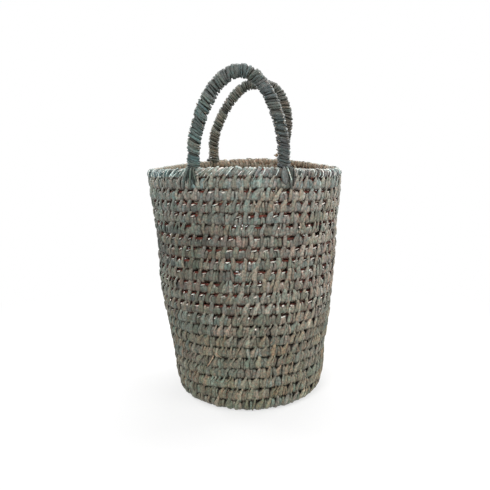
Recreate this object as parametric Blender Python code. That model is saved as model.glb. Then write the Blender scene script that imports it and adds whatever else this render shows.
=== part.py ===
"""A tall round basket of coiled palm leaf with two wrapped rope handles.

One long coil of bundled leaf makes the whole body. It starts at a knot in the
middle of the base, winds outwards as a flat spiral, turns up round the corner
and climbs the wall row on row, and its tail thins out under a level rim at the
back. Up the wall the rows are drawn thin at every second corner, so that they part
in a grid of long openings. Each handle is a cored rope wound with a leaf strip. Its two feet stand in
seats on leaf lashings that straddle the rim, and the handle flexes about the
line through both feet.

Metres, +Z up. The origin is on the floor under the middle of the mouth; the body
leans a little, so its base stands a few millimetres to the right. The handles
stand at -Y (front) and +Y (back).
"""

import math

import bmesh
import bpy
from mathutils import Vector, kdtree

OBJECT_NAME = "palm_leaf_basket"

# Body: outer sizes, and the bundle of leaf that is coiled up
WALL_HEIGHT = 0.3531
MOUTH_RADIUS = 0.1493
BASE_RADIUS = 0.1180
CORNER_RADIUS = 0.0140
RIM_SADDLE = 0.0047
BODY_LEAN = 0.0064
ROW_PITCH = 0.0166
ROW_GAP = 0.0005
RIM_ROW_SHARE = 0.70
WALL_THICKNESS = 0.0120
FLOOR_FLAT_DEPTH = 0.0009

# How the wall flares: shares of its height, and of the step from base to mouth
FLARE_SHARES = (
    (0.000, 0.000),
    (0.075, 0.000),
    (0.170, 0.055),
    (0.260, 0.190),
    (0.350, 0.340),
    (0.445, 0.475),
    (0.530, 0.560),
    (0.620, 0.610),
    (0.710, 0.665),
    (0.800, 0.770),
    (0.895, 0.905),
    (1.000, 1.000),
)

# Winding of the coil: counts of points, and where the row change lies
POINTS_PER_TURN = 20
WALL_STEPS = 80
FIRST_TURN_SHARE = 0.5
START_FIT_SHARE = 0.78
JOG_SHARE = 1 / 3
TAIL_END_SHARE = 0.30
JOG_MIDDLE_ANGLE = math.radians(90)
FLAT_CREST_SHARE = 0.4
KNOT_TURN_SHARE = 0.787
KNOT_RADIUS = 0.0062
KNOT_OFFSET = 0.0060

# Openwork: how much thinner the wall's rows are drawn where they part
OPENING_SHARE = 0.17
OPENING_EASE_TURNS = 2

# Handles: a cored rope, wound with a strip that stands out as ribs
HANDLE_HALF_SPAN = 0.0612
HANDLE_RISE = 0.1188
HANDLE_STRAIGHT = 0.0190
HANDLE_LEFT_POWER = 2.0
HANDLE_HEIGHT_POWER = 1.35
FRONT_HANDLE_LEAN = 0.0035
FRONT_HANDLE_RIGHT_POWER = 2.0
FRONT_HANDLE_BOW = 0.0
BACK_HANDLE_LEAN = 0.0090
BACK_HANDLE_RIGHT_POWER = 4.5
BACK_HANDLE_BOW = 0.0065
CORE_RADIUS = 0.0068
WRAP_RADIUS = 0.0095
WRAP_GROOVE_DEPTH = 0.0013
WRAP_START = 0.0022
WRAP_RIB_COUNT = 42
RIBS_PER_CORE_POINT = 2
ROPE_BEVEL_STEPS = 2
DOME_STEPS = 3
DOME_SWEEP = math.radians(78)

# Lashings: leaf strips that straddle the rim under each handle foot
LASHING_WIDTH = 0.0270
LASHING_SPREAD = 0.0045
LASHING_THICKNESS = 0.0028
LASHING_GROOVE_DEPTH = 0.0009
LASHING_CREST_THICKNESS = 0.0042
LASHING_OUTER_REACH = 0.0330
LASHING_INNER_REACH = 0.0230
LASHING_STRIPS = 4
STATIONS_PER_STRIP = 4
FOOT_SINK = 0.0015

# Fits
CLEARANCE = 0.0003
CUT_OVERRUN = 0.0050
WELD_DISTANCE = 0.000001
WALK_STEPS = 400
ANGLE_HALVINGS = 50

SMOOTH_ANGLE = math.radians(50)
SEAT_SEGMENTS = 24
KNOT_SEGMENTS = 20
KNOT_RINGS = 8

# Colours, as linear red, green and blue
LEAF_SAGE = (0.190, 0.200, 0.150)
LEAF_OLIVE = (0.170, 0.165, 0.095)
LEAF_TAN = (0.300, 0.240, 0.150)
LEAF_SLATE = (0.105, 0.140, 0.125)
CORE_BROWN = (0.230, 0.150, 0.085)
LEAF_ROUGHNESS = 0.75

CENTRE_RADIUS_AT_BASE = BASE_RADIUS - WALL_THICKNESS / 2
CENTRE_RADIUS_AT_MOUTH = MOUTH_RADIUS - WALL_THICKNESS / 2
FLOOR_CENTRE = WALL_THICKNESS / 2 - FLOOR_FLAT_DEPTH
HALF_ROW = (ROW_PITCH - ROW_GAP) / 2


def clear_scene():
    """Remove whatever the file holds."""
    for item in list(bpy.data.objects):
        bpy.data.objects.remove(item)


def make_collection(name):
    """Link a new collection to the scene."""
    collection = bpy.data.collections.new(name)
    bpy.context.scene.collection.children.link(collection)
    return collection


def make_material(name, colour):
    """A dry leaf material in one colour."""
    material = bpy.data.materials.new(name)
    material.use_nodes = True
    shader = material.node_tree.nodes["Principled BSDF"]
    shader.inputs["Base Color"].default_value = (*colour, 1)
    shader.inputs["Roughness"].default_value = LEAF_ROUGHNESS
    shader.inputs["Metallic"].default_value = 0
    return material


def mix(first, second, share):
    """The value this share of the way from first to second."""
    return first + (second - first) * share


def smoothstep(share):
    """Ease a share in and out."""
    share = min(max(share, 0), 1)
    return share * share * (3 - 2 * share)


def flare_share(height_share):
    """How far the wall has flared at a share of its height, through smooth curves."""
    rows = FLARE_SHARES
    last = len(rows) - 1
    at = next((i for i in range(last) if height_share <= rows[i + 1][0]), last - 1)
    (x0, y0), (x1, y1) = rows[at], rows[at + 1]
    before, after = rows[max(at - 1, 0)], rows[min(at + 2, last)]
    slope0 = (y1 - before[1]) / (x1 - before[0])
    slope1 = (after[1] - y0) / (after[0] - x0)
    width = x1 - x0
    u = (height_share - x0) / width
    return (
        (2 * u**3 - 3 * u**2 + 1) * y0
        + (u**3 - 2 * u**2 + u) * width * slope0
        + (3 * u**2 - 2 * u**3) * y1
        + (u**3 - u**2) * width * slope1
    )


def meridian_points():
    """The wall's middle line from the base's centre to the rim, as radius and height."""
    flat_radius = CENTRE_RADIUS_AT_BASE - CORNER_RADIUS
    corner_top = FLOOR_CENTRE + CORNER_RADIUS
    points = [Vector((0, FLOOR_CENTRE)), Vector((flat_radius, FLOOR_CENTRE))]
    corner_steps = POINTS_PER_TURN
    for step in range(1, corner_steps):
        angle = math.pi / 2 * step / corner_steps
        radius = flat_radius + CORNER_RADIUS * math.sin(angle)
        points.append(Vector((radius, corner_top - CORNER_RADIUS * math.cos(angle))))
    for step in range(WALL_STEPS + 1):
        height = mix(corner_top, WALL_HEIGHT, step / WALL_STEPS)
        share = flare_share(height / WALL_HEIGHT)
        radius = mix(CENTRE_RADIUS_AT_BASE, CENTRE_RADIUS_AT_MOUTH, share)
        points.append(Vector((radius, height)))
    return points


MERIDIAN = meridian_points()


def lengths_along(points):
    """The distance walked at each point of a line."""
    walked = [0.0]
    for first, second in zip(points, points[1:]):
        walked.append(walked[-1] + (second - first).length)
    return walked


MERIDIAN_LENGTHS = lengths_along(MERIDIAN)
CREST_LENGTH = MERIDIAN_LENGTHS[-1]
RIM_LENGTH = CREST_LENGTH - RIM_ROW_SHARE * HALF_ROW


def point_along(points, walked, distance):
    """The point at a distance along a line, and the direction there."""
    at = next((i for i, length in enumerate(walked[1:]) if distance <= length), len(points) - 2)
    span = walked[at + 1] - walked[at]
    share = (distance - walked[at]) / span
    direction = (points[at + 1] - points[at]).normalized()
    return points[at].lerp(points[at + 1], share), direction


def wall_point(length, angle):
    """A point of the wall's middle line, at a length up the wall and an angle round it."""
    place, _ = point_along(MERIDIAN, MERIDIAN_LENGTHS, length)
    lift = RIM_SADDLE * (place.y / WALL_HEIGHT) * -math.cos(2 * angle)
    x = place.x * math.cos(angle) + lean_shift(place.y)
    return Vector((x, place.x * math.sin(angle), place.y + lift))


def lean_shift(height):
    """How far right of the mouth's middle the body stands at a height, as it leans a little."""
    return BODY_LEAN * (1 - height / WALL_HEIGHT)


def wall_slope(length):
    """How far the wall leans out from upright at a length up it."""
    _, direction = point_along(MERIDIAN, MERIDIAN_LENGTHS, length)
    return math.atan2(direction.x, direction.y)


# The turn at which the rim row starts, and where the wall starts
LAST_FULL_LENGTH = CREST_LENGTH - HALF_ROW * (1 + 2 * RIM_ROW_SHARE) - ROW_GAP
RIM_TURN = LAST_FULL_LENGTH / ROW_PITCH + 1
CORNER_LENGTH = CENTRE_RADIUS_AT_BASE - CORNER_RADIUS
WALL_TURN = (CORNER_LENGTH + CORNER_RADIUS * math.pi / 2) / ROW_PITCH
JOG_END_ANGLE = JOG_MIDDLE_ANGLE + math.pi * JOG_SHARE


def share_after_jog(turn):
    """The share of a turn gone since the coil last left the row change."""
    return (turn - RIM_TURN) % 1


def levelling(turn):
    """How far a row lags behind an even climb, so that it runs level outside the row change."""
    share = share_after_jog(turn)
    level_share = 1 - JOG_SHARE
    if share <= level_share:
        return share
    return level_share * (1 - smoothstep((share - level_share) / JOG_SHARE))


def coil_angle(turn):
    """The angle round the basket at a turn of the coil."""
    return JOG_END_ANGLE + math.tau * (turn - RIM_TURN)


def level_weight(turn):
    """How much of the levelling a turn takes: none at the base, all of it at the rim."""
    return min(max((turn - WALL_TURN) / (RIM_TURN - WALL_TURN), 0), 1)


def coil_length(turn):
    """The length up the meridian that the coil has reached at a turn."""
    return ROW_PITCH * (turn - level_weight(turn) * levelling(turn))


def pair_share(first, second, angle):
    """The thickness share at which two neighbouring rows lie one row gap apart."""
    chord = (wall_point(second, angle) - wall_point(first, angle)).length
    bend = abs(wall_slope(second) - wall_slope(first)) / 2
    flat = WALL_THICKNESS / 2 * FLAT_CREST_SHARE
    reach = flat * math.sin(bend) + HALF_ROW * math.cos(bend)
    return (chord - ROW_GAP) / (2 * reach)


def coil_share(turn):
    """The coil's thickness at a turn, as a share of a full row, to clear the rows beside it."""
    length, angle = coil_length(turn), coil_angle(turn)
    beside = [other for other in (turn - 1, turn + 1) if other >= FIRST_TURN_SHARE]
    shares = [pair_share(length, coil_length(other), angle) for other in beside]
    centre_fit = START_FIT_SHARE * length / HALF_ROW
    return min(shares + [centre_fit, 1])


def rim_station(turn):
    """Where the rim row lies at a turn, and its thickness as a share of a full row."""
    below = coil_length(turn - 1) + HALF_ROW * coil_share(turn - 1) + ROW_GAP
    return (CREST_LENGTH + below) / 2, (CREST_LENGTH - below) / (2 * HALF_ROW)


def drawn_share(turn):
    """How thin the coil is drawn at a turn: full at one corner, least at the next, up the wall."""
    wave = 0.5 - 0.5 * math.cos(coil_angle(turn) * POINTS_PER_TURN / 2)
    return 1 - OPENING_SHARE * wave * smoothstep((turn - WALL_TURN) / OPENING_EASE_TURNS)


def coil_station(turn):
    """Where the coil lies at a turn below the rim, and its thickness share."""
    length, share = coil_length(turn), coil_share(turn) * drawn_share(turn)
    top = min(length + HALF_ROW * share, CREST_LENGTH)
    bottom = length - HALF_ROW * share
    return (top + bottom) / 2, (top - bottom) / (2 * HALF_ROW)


def section_outline():
    """The leaf bundle's cross-section: bulging sides, and narrow flats where rows meet."""
    side = WALL_THICKNESS / 2
    flat = side * FLAT_CREST_SHARE
    half = HALF_ROW
    return [(flat, half), (side, 0), (flat, -half), (-flat, -half), (-side, 0), (-flat, half)]


def make_section(collection):
    """The cross-section as a closed outline that the coils are swept with."""
    outline = section_outline()
    curve = bpy.data.curves.new("coil_section", "CURVE")
    curve.dimensions = "2D"
    spline = curve.splines.new("POLY")
    spline.points.add(len(outline) - 1)
    for point, (across, up) in zip(spline.points, outline):
        point.co = (across, up, 0, 1)
    spline.use_cyclic_u = True
    section = bpy.data.objects.new("coil_section", curve)
    collection.objects.link(section)
    section.hide_render = True
    section.display_type = "WIRE"
    return section


def make_curve(name, stations, collection, material):
    """A curve through stations of point, thickness share and tilt."""
    curve = bpy.data.curves.new(name, "CURVE")
    curve.dimensions = "3D"
    curve.twist_mode = "Z_UP"
    curve.use_fill_caps = True
    spline = curve.splines.new("POLY")
    spline.points.add(len(stations) - 1)
    for point, (place, share, tilt) in zip(spline.points, stations):
        point.co = (*place, 1)
        point.radius = share
        point.tilt = tilt
    curve.materials.append(material)
    obj = bpy.data.objects.new(name, curve)
    collection.objects.link(obj)
    return obj


def to_mesh(obj, collection):
    """Turn a curve object into a mesh object of the same name, with its caps welded on."""
    bpy.context.view_layer.update()
    evaluated = obj.evaluated_get(bpy.context.evaluated_depsgraph_get())
    mesh = bpy.data.meshes.new_from_object(evaluated)
    work = bmesh.new()
    work.from_mesh(mesh)
    bmesh.ops.remove_doubles(work, verts=work.verts, dist=WELD_DISTANCE)
    bmesh.ops.recalc_face_normals(work, faces=work.faces)
    work.to_mesh(mesh)
    work.free()
    name = obj.name
    matrix = obj.matrix_world.copy()
    curve = obj.data
    bpy.data.objects.remove(obj)
    bpy.data.curves.remove(curve)
    solid = bpy.data.objects.new(name, mesh)
    collection.objects.link(solid)
    solid.matrix_world = matrix
    return solid


def shade_round(obj):
    """Shade a round piece smooth, keeping its true edges sharp."""
    obj.data.shade_smooth()
    obj.data.set_sharp_from_angle(angle=SMOOTH_ANGLE)


def coil_turns(start, end):
    """Turns at every corner of the coil between two ends, with each end inside a straight run."""
    step = 1 / POINTS_PER_TURN
    shift = (coil_angle(0) / math.tau) % step
    first = math.ceil((start + shift) / step)
    last = math.floor((end + shift) / step)
    corners = [index * step - shift for index in range(first, last + 1)]
    return [start] + [turn for turn in corners if start < turn < end] + [end]


def straight_middle(turn):
    """The turn in the middle of the straight run that a turn falls in."""
    step = 1 / POINTS_PER_TURN
    shift = (coil_angle(0) / math.tau) % step
    return (math.floor((turn + shift) / step) + 0.5) * step - shift


def corner_station(turn, station):
    """Point, thickness share and tilt of the coil at one of its corners."""
    length, share = station(turn)
    return wall_point(length, coil_angle(turn)), share, wall_slope(length)


def coil_path(start, end, station):
    """Stations along the coil. Both ends lie on the straight runs between its corners."""
    step = 1 / POINTS_PER_TURN
    turns = coil_turns(start, end)
    path = [corner_station(turn, station) for turn in turns[1:-1]]
    for turn, at in ((start, 0), (end, len(path) + 1)):
        middle = straight_middle(turn)
        before = corner_station(middle - step / 2, station)
        after = corner_station(middle + step / 2, station)
        share = (turn - middle) / step + 0.5
        place = before[0].lerp(after[0], share)
        path.insert(at, (place, mix(before[1], after[1], share), mix(before[2], after[2], share)))
    return path


def make_coil(name, start, end, station, section, collection, material):
    """One unbroken run of the coil, swept with the bundle's section."""
    path = coil_path(start, end, station)
    coil = make_curve(name, path, collection, material)
    coil.data.bevel_mode = "OBJECT"
    coil.data.bevel_object = section
    coil = to_mesh(coil, collection)
    print(f"{name}: least gap to itself {least_gap(coil, path) * 1000:.2f} mm")
    return coil


def least_gap(coil, path):
    """The least distance between points of the coil that are over half a turn apart."""
    stations = kdtree.KDTree(len(path))
    for index, (place, _, _) in enumerate(path):
        stations.insert(place, index)
    stations.balance()
    points = kdtree.KDTree(len(coil.data.vertices))
    owners = []
    for index, vertex in enumerate(coil.data.vertices):
        points.insert(vertex.co, index)
        owners.append(stations.find(vertex.co)[1])
    points.balance()
    least = ROW_PITCH
    for index, vertex in enumerate(coil.data.vertices):
        for _, other, distance in points.find_range(vertex.co, least):
            if abs(owners[index] - owners[other]) > POINTS_PER_TURN / 2:
                least = min(least, distance)
    return least


def cut(obj, cutter):
    """Cut an object with a cutter that stays out of the render."""
    boolean = obj.modifiers.new(f"cut by {cutter.name}", "BOOLEAN")
    boolean.operation = "DIFFERENCE"
    boolean.object = cutter
    cutter.hide_render = True
    cutter.display_type = "WIRE"


def make_floor_cutter(collection):
    """A slab under the floor that flattens the base coil where the basket stands."""
    work = bmesh.new()
    bmesh.ops.create_cube(work, size=1)
    side = 2 * (MOUTH_RADIUS + CUT_OVERRUN)
    depth = FLOOR_FLAT_DEPTH + CUT_OVERRUN
    bmesh.ops.scale(work, vec=(side, side, depth), verts=work.verts)
    mesh = bpy.data.meshes.new("floor_slab")
    work.to_mesh(mesh)
    work.free()
    slab = bpy.data.objects.new("floor_slab", mesh)
    slab.location.z = -depth / 2
    collection.objects.link(slab)
    return slab


def make_start_knot(collection, material):
    """The tied start of the coil, a flattened ball in the hollow that the first turn leaves."""
    work = bmesh.new()
    bmesh.ops.create_uvsphere(
        work, u_segments=KNOT_SEGMENTS, v_segments=KNOT_RINGS, radius=KNOT_RADIUS
    )
    half = WALL_THICKNESS / 2
    bmesh.ops.scale(work, vec=(1, 1, half / KNOT_RADIUS), verts=work.verts)
    mesh = bpy.data.meshes.new("base_start_knot")
    work.to_mesh(mesh)
    work.free()
    knot = bpy.data.objects.new("base_start_knot", mesh)
    knot.data.materials.append(material)
    away = coil_angle(FIRST_TURN_SHARE + KNOT_TURN_SHARE)
    x = KNOT_OFFSET * math.cos(away) + lean_shift(FLOOR_CENTRE)
    knot.location = (x, KNOT_OFFSET * math.sin(away), FLOOR_CENTRE)
    collection.objects.link(knot)
    shade_round(knot)
    return knot


def make_body(section, parts, cutters, materials):
    """The knot, and the coil in three runs: base, wall and rim."""
    gap_turn = CLEARANCE / 2 / (math.tau * CENTRE_RADIUS_AT_BASE)
    base_end = straight_middle(WALL_TURN)
    rim_start = straight_middle(RIM_TURN)
    level_end = RIM_TURN + 1 - JOG_SHARE
    tail_end = straight_middle(level_end + JOG_SHARE * (1 - TAIL_END_SHARE))
    base = make_coil(
        "base_coil", FIRST_TURN_SHARE, base_end - gap_turn, coil_station,
        section, parts, materials["base"],
    )
    cut(base, make_floor_cutter(cutters))
    knot = make_start_knot(parts, materials["base"])
    cut(knot, bpy.data.objects["floor_slab"])
    make_coil(
        "wall_coil", base_end + gap_turn, rim_start - gap_turn, coil_station,
        section, parts, materials["wall"],
    )
    make_coil(
        "rim_coil", rim_start + gap_turn, tail_end, rim_station,
        section, parts, materials["rim"],
    )


def crest_corner(index):
    """The angle of a corner of the rim row."""
    return index * math.tau / POINTS_PER_TURN


def rim_frame(angle, length):
    """A point of the faceted wall at an angle and a length up it, and the way out there."""
    step = math.tau / POINTS_PER_TURN
    index = math.floor(angle / step)
    first, second = crest_corner(index), crest_corner(index + 1)
    a, b = wall_point(length, first), wall_point(length, second)
    out_a = Vector((math.cos(first), math.sin(first), 0))
    out_b = Vector((math.cos(second), math.sin(second), 0))
    aim = Vector((math.cos(angle), math.sin(angle), 0))
    cross_a, cross_b = aim.cross(a).z, aim.cross(b).z
    share = cross_a / (cross_a - cross_b)
    return a.lerp(b, share), out_a.lerp(out_b, share)


def foot_angle(side, end):
    """The angle round the rim at which a handle foot stands."""
    low, high = 0.0, math.pi / 2
    for _ in range(ANGLE_HALVINGS):
        middle = (low + high) / 2
        place, _ = rim_frame(middle, CREST_LENGTH)
        if place.x > HANDLE_HALF_SPAN:
            low = middle
        else:
            high = middle
    quarter = low
    if side > 0:
        return quarter if end > 0 else math.pi - quarter
    return math.tau - quarter if end > 0 else math.pi + quarter


def pivot_of(side):
    """The middle of the line through a handle's two feet, which it flexes about."""
    place, _ = rim_frame(foot_angle(side, 1), CREST_LENGTH)
    lift = CLEARANCE + LASHING_CREST_THICKNESS - FOOT_SINK + CLEARANCE + CORE_RADIUS
    return Vector((0, place.y, place.z + lift))


def handle_line(lean, right_power, bow):
    """The handle's middle line from its left foot to its right, about its pivot."""
    rise = HANDLE_RISE - HANDLE_STRAIGHT
    points = [Vector((-HANDLE_HALF_SPAN, 0, 0))]
    for step in range(WALK_STEPS + 1):
        angle = math.pi * step / WALK_STEPS
        across = -math.cos(angle)
        up = max(math.sin(angle), 0) ** (2 / HANDLE_HEIGHT_POWER)
        power = right_power if across > 0 else HANDLE_LEFT_POWER
        x = math.copysign(abs(across) ** (2 / power), across) * HANDLE_HALF_SPAN
        if across > 0:
            x += 4 * bow * up * (1 - up)
        points.append(Vector((x + lean * up**2, 0, HANDLE_STRAIGHT + rise * up)))
    points.append(Vector((HANDLE_HALF_SPAN, 0, 0)))
    return points


def spaced_stations(points, start, count):
    """Evenly spaced points along a line, the first and last this far from its ends."""
    walked = lengths_along(points)
    span = walked[-1] - 2 * start
    return [point_along(points, walked, start + span * i / count)[0] for i in range(count + 1)]


def make_rope(name, stations, radius, collection, material):
    """A tube through stations, its thickness shares taken of a radius."""
    rope = make_curve(name, stations, collection, material)
    rope.data.twist_mode = "MINIMUM"
    rope.data.bevel_depth = radius
    rope.data.bevel_resolution = ROPE_BEVEL_STEPS
    return to_mesh(rope, collection)


def core_stations(line):
    """The core's stations, with a dome about the pivot at each foot."""
    middle = spaced_stations(line, 0, WRAP_RIB_COUNT // RIBS_PER_CORE_POINT)
    dome = []
    for step in range(DOME_STEPS, 0, -1):
        angle = DOME_SWEEP * step / DOME_STEPS
        dome.append((CORE_RADIUS * math.sin(angle), math.cos(angle)))
    left = [(middle[0] - Vector((0, 0, depth)), share, 0) for depth, share in dome]
    right = [(middle[-1] - Vector((0, 0, depth)), share, 0) for depth, share in reversed(dome)]
    return left + [(place, 1, 0) for place in middle] + right


def wrap_stations(line):
    """The wrap's stations: a groove and a rib by turns, with a groove at each end."""
    groove = 1 - WRAP_GROOVE_DEPTH / WRAP_RADIUS
    places = spaced_stations(line, WRAP_START, WRAP_RIB_COUNT * 2)
    return [(place, groove if index % 2 == 0 else 1, 0) for index, place in enumerate(places)]


def make_handle(name, side, line, parts, cutters, materials):
    """A handle's core and wrap along its line, on an empty at the pivot between its feet."""
    pivot = bpy.data.objects.new(f"{name}_pivot", None)
    pivot.location = pivot_of(side)
    parts.objects.link(pivot)
    core = make_rope(
        f"{name}_core", core_stations(line), CORE_RADIUS, parts, materials["core"]
    )
    wrap = make_rope(
        f"{name}_wrap", wrap_stations(line), WRAP_RADIUS, parts, materials["handle"]
    )
    bore = make_rope(
        f"{name}_bore", [(place, 1, 0) for place in bore_places(line)],
        CORE_RADIUS + CLEARANCE, cutters, materials["core"],
    )
    for item in (core, wrap, bore):
        item.parent = pivot
    cut(wrap, bore)
    shade_round(core)
    shade_round(wrap)


def bore_places(line):
    """The bore follows the core's own points, so that the two stay evenly apart."""
    return spaced_stations(line, 0, WRAP_RIB_COUNT // RIBS_PER_CORE_POINT)


def lashing_profile(thickness, crest):
    """Inner and outer lines of a strip over the rim, as offset out from the wall and length up it."""
    side = WALL_THICKNESS / 2 + CLEARANCE
    flat = side * FLAT_CREST_SHARE
    shoulder = RIM_LENGTH
    low_out = CREST_LENGTH - LASHING_OUTER_REACH
    low_in = CREST_LENGTH - LASHING_INNER_REACH
    middle_out = (low_out + shoulder) / 2
    top = CLEARANCE
    inner = [
        (-side, low_in, 0), (-side, shoulder, 0), (-flat, CREST_LENGTH, top),
        (flat, CREST_LENGTH, top), (side, shoulder, 0), (side, middle_out, 0), (side, low_out, 0),
    ]
    wide, ledge = side + thickness, flat + thickness
    outer = [
        (-wide, low_in, 0), (-wide, shoulder, 0), (-ledge, CREST_LENGTH, top + crest),
        (ledge, CREST_LENGTH, top + crest), (wide, shoulder, 0), (wide, middle_out, 0),
        (wide, low_out, 0),
    ]
    return inner + outer[::-1]


def lashing_ring(angle, spread_angle, share):
    """One slice of a lashing, thinner in the groove between two strips and fanned out below."""
    groove = LASHING_GROOVE_DEPTH * (0.5 + 0.5 * math.cos(math.tau * share * LASHING_STRIPS))
    profile = lashing_profile(LASHING_THICKNESS - groove, LASHING_CREST_THICKNESS - groove)
    ring = []
    for offset, length, lift in profile:
        below = (CREST_LENGTH - length) / LASHING_OUTER_REACH
        place, out = rim_frame(angle + spread_angle * (2 * share - 1) * below, length)
        ring.append(place + out * offset + Vector((0, 0, lift)))
    return ring


def make_seat_cutter(name, place, collection):
    """A ball that hollows the seat for a handle foot."""
    work = bmesh.new()
    bmesh.ops.create_uvsphere(
        work, u_segments=SEAT_SEGMENTS, v_segments=SEAT_SEGMENTS // 2,
        radius=CORE_RADIUS + CLEARANCE,
    )
    mesh = bpy.data.meshes.new(name)
    work.to_mesh(mesh)
    work.free()
    ball = bpy.data.objects.new(name, mesh)
    ball.location = place
    collection.objects.link(ball)
    return ball


def make_lashing(name, side, end, parts, cutters, material):
    """The strips over the rim under one handle foot, with a seat for its rounded end."""
    centre = foot_angle(side, end)
    reach = LASHING_WIDTH / 2 / CENTRE_RADIUS_AT_MOUTH
    spread = LASHING_SPREAD / CENTRE_RADIUS_AT_MOUTH
    count = LASHING_STRIPS * STATIONS_PER_STRIP
    work = bmesh.new()
    rings = []
    for index in range(count + 1):
        share = index / count
        points = lashing_ring(centre + reach * (2 * share - 1), spread, share)
        rings.append([work.verts.new(point) for point in points])
    size = len(rings[0])
    for near, far in zip(rings, rings[1:]):
        for i in range(size):
            j = (i + 1) % size
            work.faces.new((near[i], near[j], far[j], far[i]))
    work.faces.new(rings[0])
    work.faces.new(rings[-1][::-1])
    bmesh.ops.recalc_face_normals(work, faces=work.faces)
    mesh = bpy.data.meshes.new(name)
    work.to_mesh(mesh)
    work.free()
    lashing = bpy.data.objects.new(name, mesh)
    lashing.data.materials.append(material)
    parts.objects.link(lashing)
    pivot = pivot_of(side)
    seat = Vector((end * HANDLE_HALF_SPAN, pivot.y, pivot.z))
    cut(lashing, make_seat_cutter(f"{name}_seat", seat, cutters))


def build():
    """Make every piece of the basket."""
    clear_scene()
    parts = make_collection(OBJECT_NAME)
    cutters = make_collection("cutters")
    cutters.hide_render = True
    materials = {
        "base": make_material("base_leaf", LEAF_OLIVE),
        "wall": make_material("wall_leaf", LEAF_SAGE),
        "rim": make_material("rim_leaf", LEAF_TAN),
        "handle": make_material("handle_leaf", LEAF_SLATE),
        "core": make_material("core_leaf", CORE_BROWN),
        "lashing": make_material("lashing_leaf", LEAF_TAN),
    }
    section = make_section(cutters)
    make_body(section, parts, cutters, materials)
    front = handle_line(FRONT_HANDLE_LEAN, FRONT_HANDLE_RIGHT_POWER, FRONT_HANDLE_BOW)
    back = handle_line(BACK_HANDLE_LEAN, BACK_HANDLE_RIGHT_POWER, BACK_HANDLE_BOW)
    make_handle("front_handle", -1, front, parts, cutters, materials)
    make_handle("back_handle", 1, back, parts, cutters, materials)
    for side_name, side in (("front", -1), ("back", 1)):
        for end_name, end in (("left", -1), ("right", 1)):
            name = f"{side_name}_{end_name}_lashing"
            make_lashing(name, side, end, parts, cutters, materials["lashing"])
    pivots = {"front_handle": pivot_of(-1), "back_handle": pivot_of(1)}
    for name, place in pivots.items():
        print(f"{name} pivot at {place.y:.5f}, {place.z:.5f}")


build()
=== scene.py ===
"""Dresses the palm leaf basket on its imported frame.

One long coil of bundled leaf makes the body. Every visible turn of leaf is its own
closed loop: wraps that cover the bundle, binding turns that reach up into the row
above, the overcast edge, the lashings under the handle feet and the winding of both
handles. Metres, +Z up, front at -Y.
"""

from __future__ import annotations

import logging
import math
from dataclasses import astuple, dataclass, field, replace
from enum import Enum
from typing import Protocol

import bmesh
import bpy
import numpy as np
from mathutils import Euler, Matrix, Vector


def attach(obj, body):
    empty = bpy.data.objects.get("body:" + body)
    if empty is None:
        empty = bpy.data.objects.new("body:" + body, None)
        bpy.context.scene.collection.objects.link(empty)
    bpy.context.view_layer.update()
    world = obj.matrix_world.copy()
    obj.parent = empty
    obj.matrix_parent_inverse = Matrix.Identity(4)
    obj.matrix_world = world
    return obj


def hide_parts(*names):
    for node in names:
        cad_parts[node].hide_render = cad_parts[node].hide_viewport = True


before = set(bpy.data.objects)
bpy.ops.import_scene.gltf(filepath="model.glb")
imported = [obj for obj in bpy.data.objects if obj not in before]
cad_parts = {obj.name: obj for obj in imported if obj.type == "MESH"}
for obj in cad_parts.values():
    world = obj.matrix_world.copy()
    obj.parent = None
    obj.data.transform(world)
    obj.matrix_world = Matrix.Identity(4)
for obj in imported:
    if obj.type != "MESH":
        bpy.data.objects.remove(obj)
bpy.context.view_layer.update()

log = logging.getLogger("palm_leaf_basket")

Array = np.ndarray
Values = np.ndarray | float
Numbers = tuple[float, ...]
Pair = tuple[float, float]
Triple = tuple[float, float, float]
Rng = np.random.Generator
Tree = bpy.types.NodeTree
Socket = bpy.types.NodeSocket

TAU = math.tau
TINT = "leaf_tint"
RUN = "leaf_run"
RUN_PER_METRE = 100
RUN_SPREAD = 40
UNIT_SECTION = 0.1
BEND_STEP = 0.02
ABOVE_FLOOR = 0.0002
SEAM_WIDTH = 0.001
MERGE_GAP = 0.00001
WHITE = (1.0, 1.0, 1.0, 1.0)


def linear(colour: Array) -> Array:
    """Turn screen colours from 0 to 255 into linear light, by the sRGB curve."""
    share = np.clip(np.asarray(colour, float) / 255, 0, 1)
    return np.where(share <= 0.04045, share / 12.92, ((share + 0.055) / 1.055) ** 2.4)


def ease(share: Values) -> Array:
    """Ease a share in and out, held between 0 and 1."""
    held = np.clip(share, 0, 1)
    return held * held * (3 - 2 * held)


def rise(value: Values, start: float, length: float) -> Array:
    """Ease from 0 to 1 as a value goes up from start by a length."""
    return ease((value - start) / length)


def bell(value: Values, middle: float, width: float) -> Array:
    """A smooth hump that is 1 at its middle."""
    return np.exp(-(((value - middle) / width) ** 2))


@dataclass
class Draws:
    """Values of chance for a number of turns, drawn one after the other."""

    rng: Rng
    count: int

    def near(self, spread: Values, middle: float = 0.0) -> Array:
        """Values scattered round a middle one."""
        return self.rng.normal(middle, spread, self.count)

    def factor(self, spread: Values) -> Array:
        """Factors scattered round 1."""
        return 1 + self.near(spread)

    def between(self, low: float, high: float) -> Array:
        """Values spread evenly from low to high."""
        return self.rng.uniform(low, high, self.count)

    def happens(self, chance: Values) -> Array:
        """True as often as the chance says."""
        return self.rng.random(self.count) < chance

    def tones(self, spread: float, middle: float = 0.0) -> Array:
        """Scattered steps of tone, in a column beside the colours."""
        return self.rng.normal(middle, spread, (self.count, 1))


class Body(Enum):
    """The moving bodies of the frame."""

    BASKET = "basket"
    FRONT_HANDLE = "front_handle"
    BACK_HANDLE = "back_handle"


class Side(Enum):
    """The side of the mouth that a handle stands at, as the sign of its Y."""

    FRONT = -1
    BACK = 1


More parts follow.
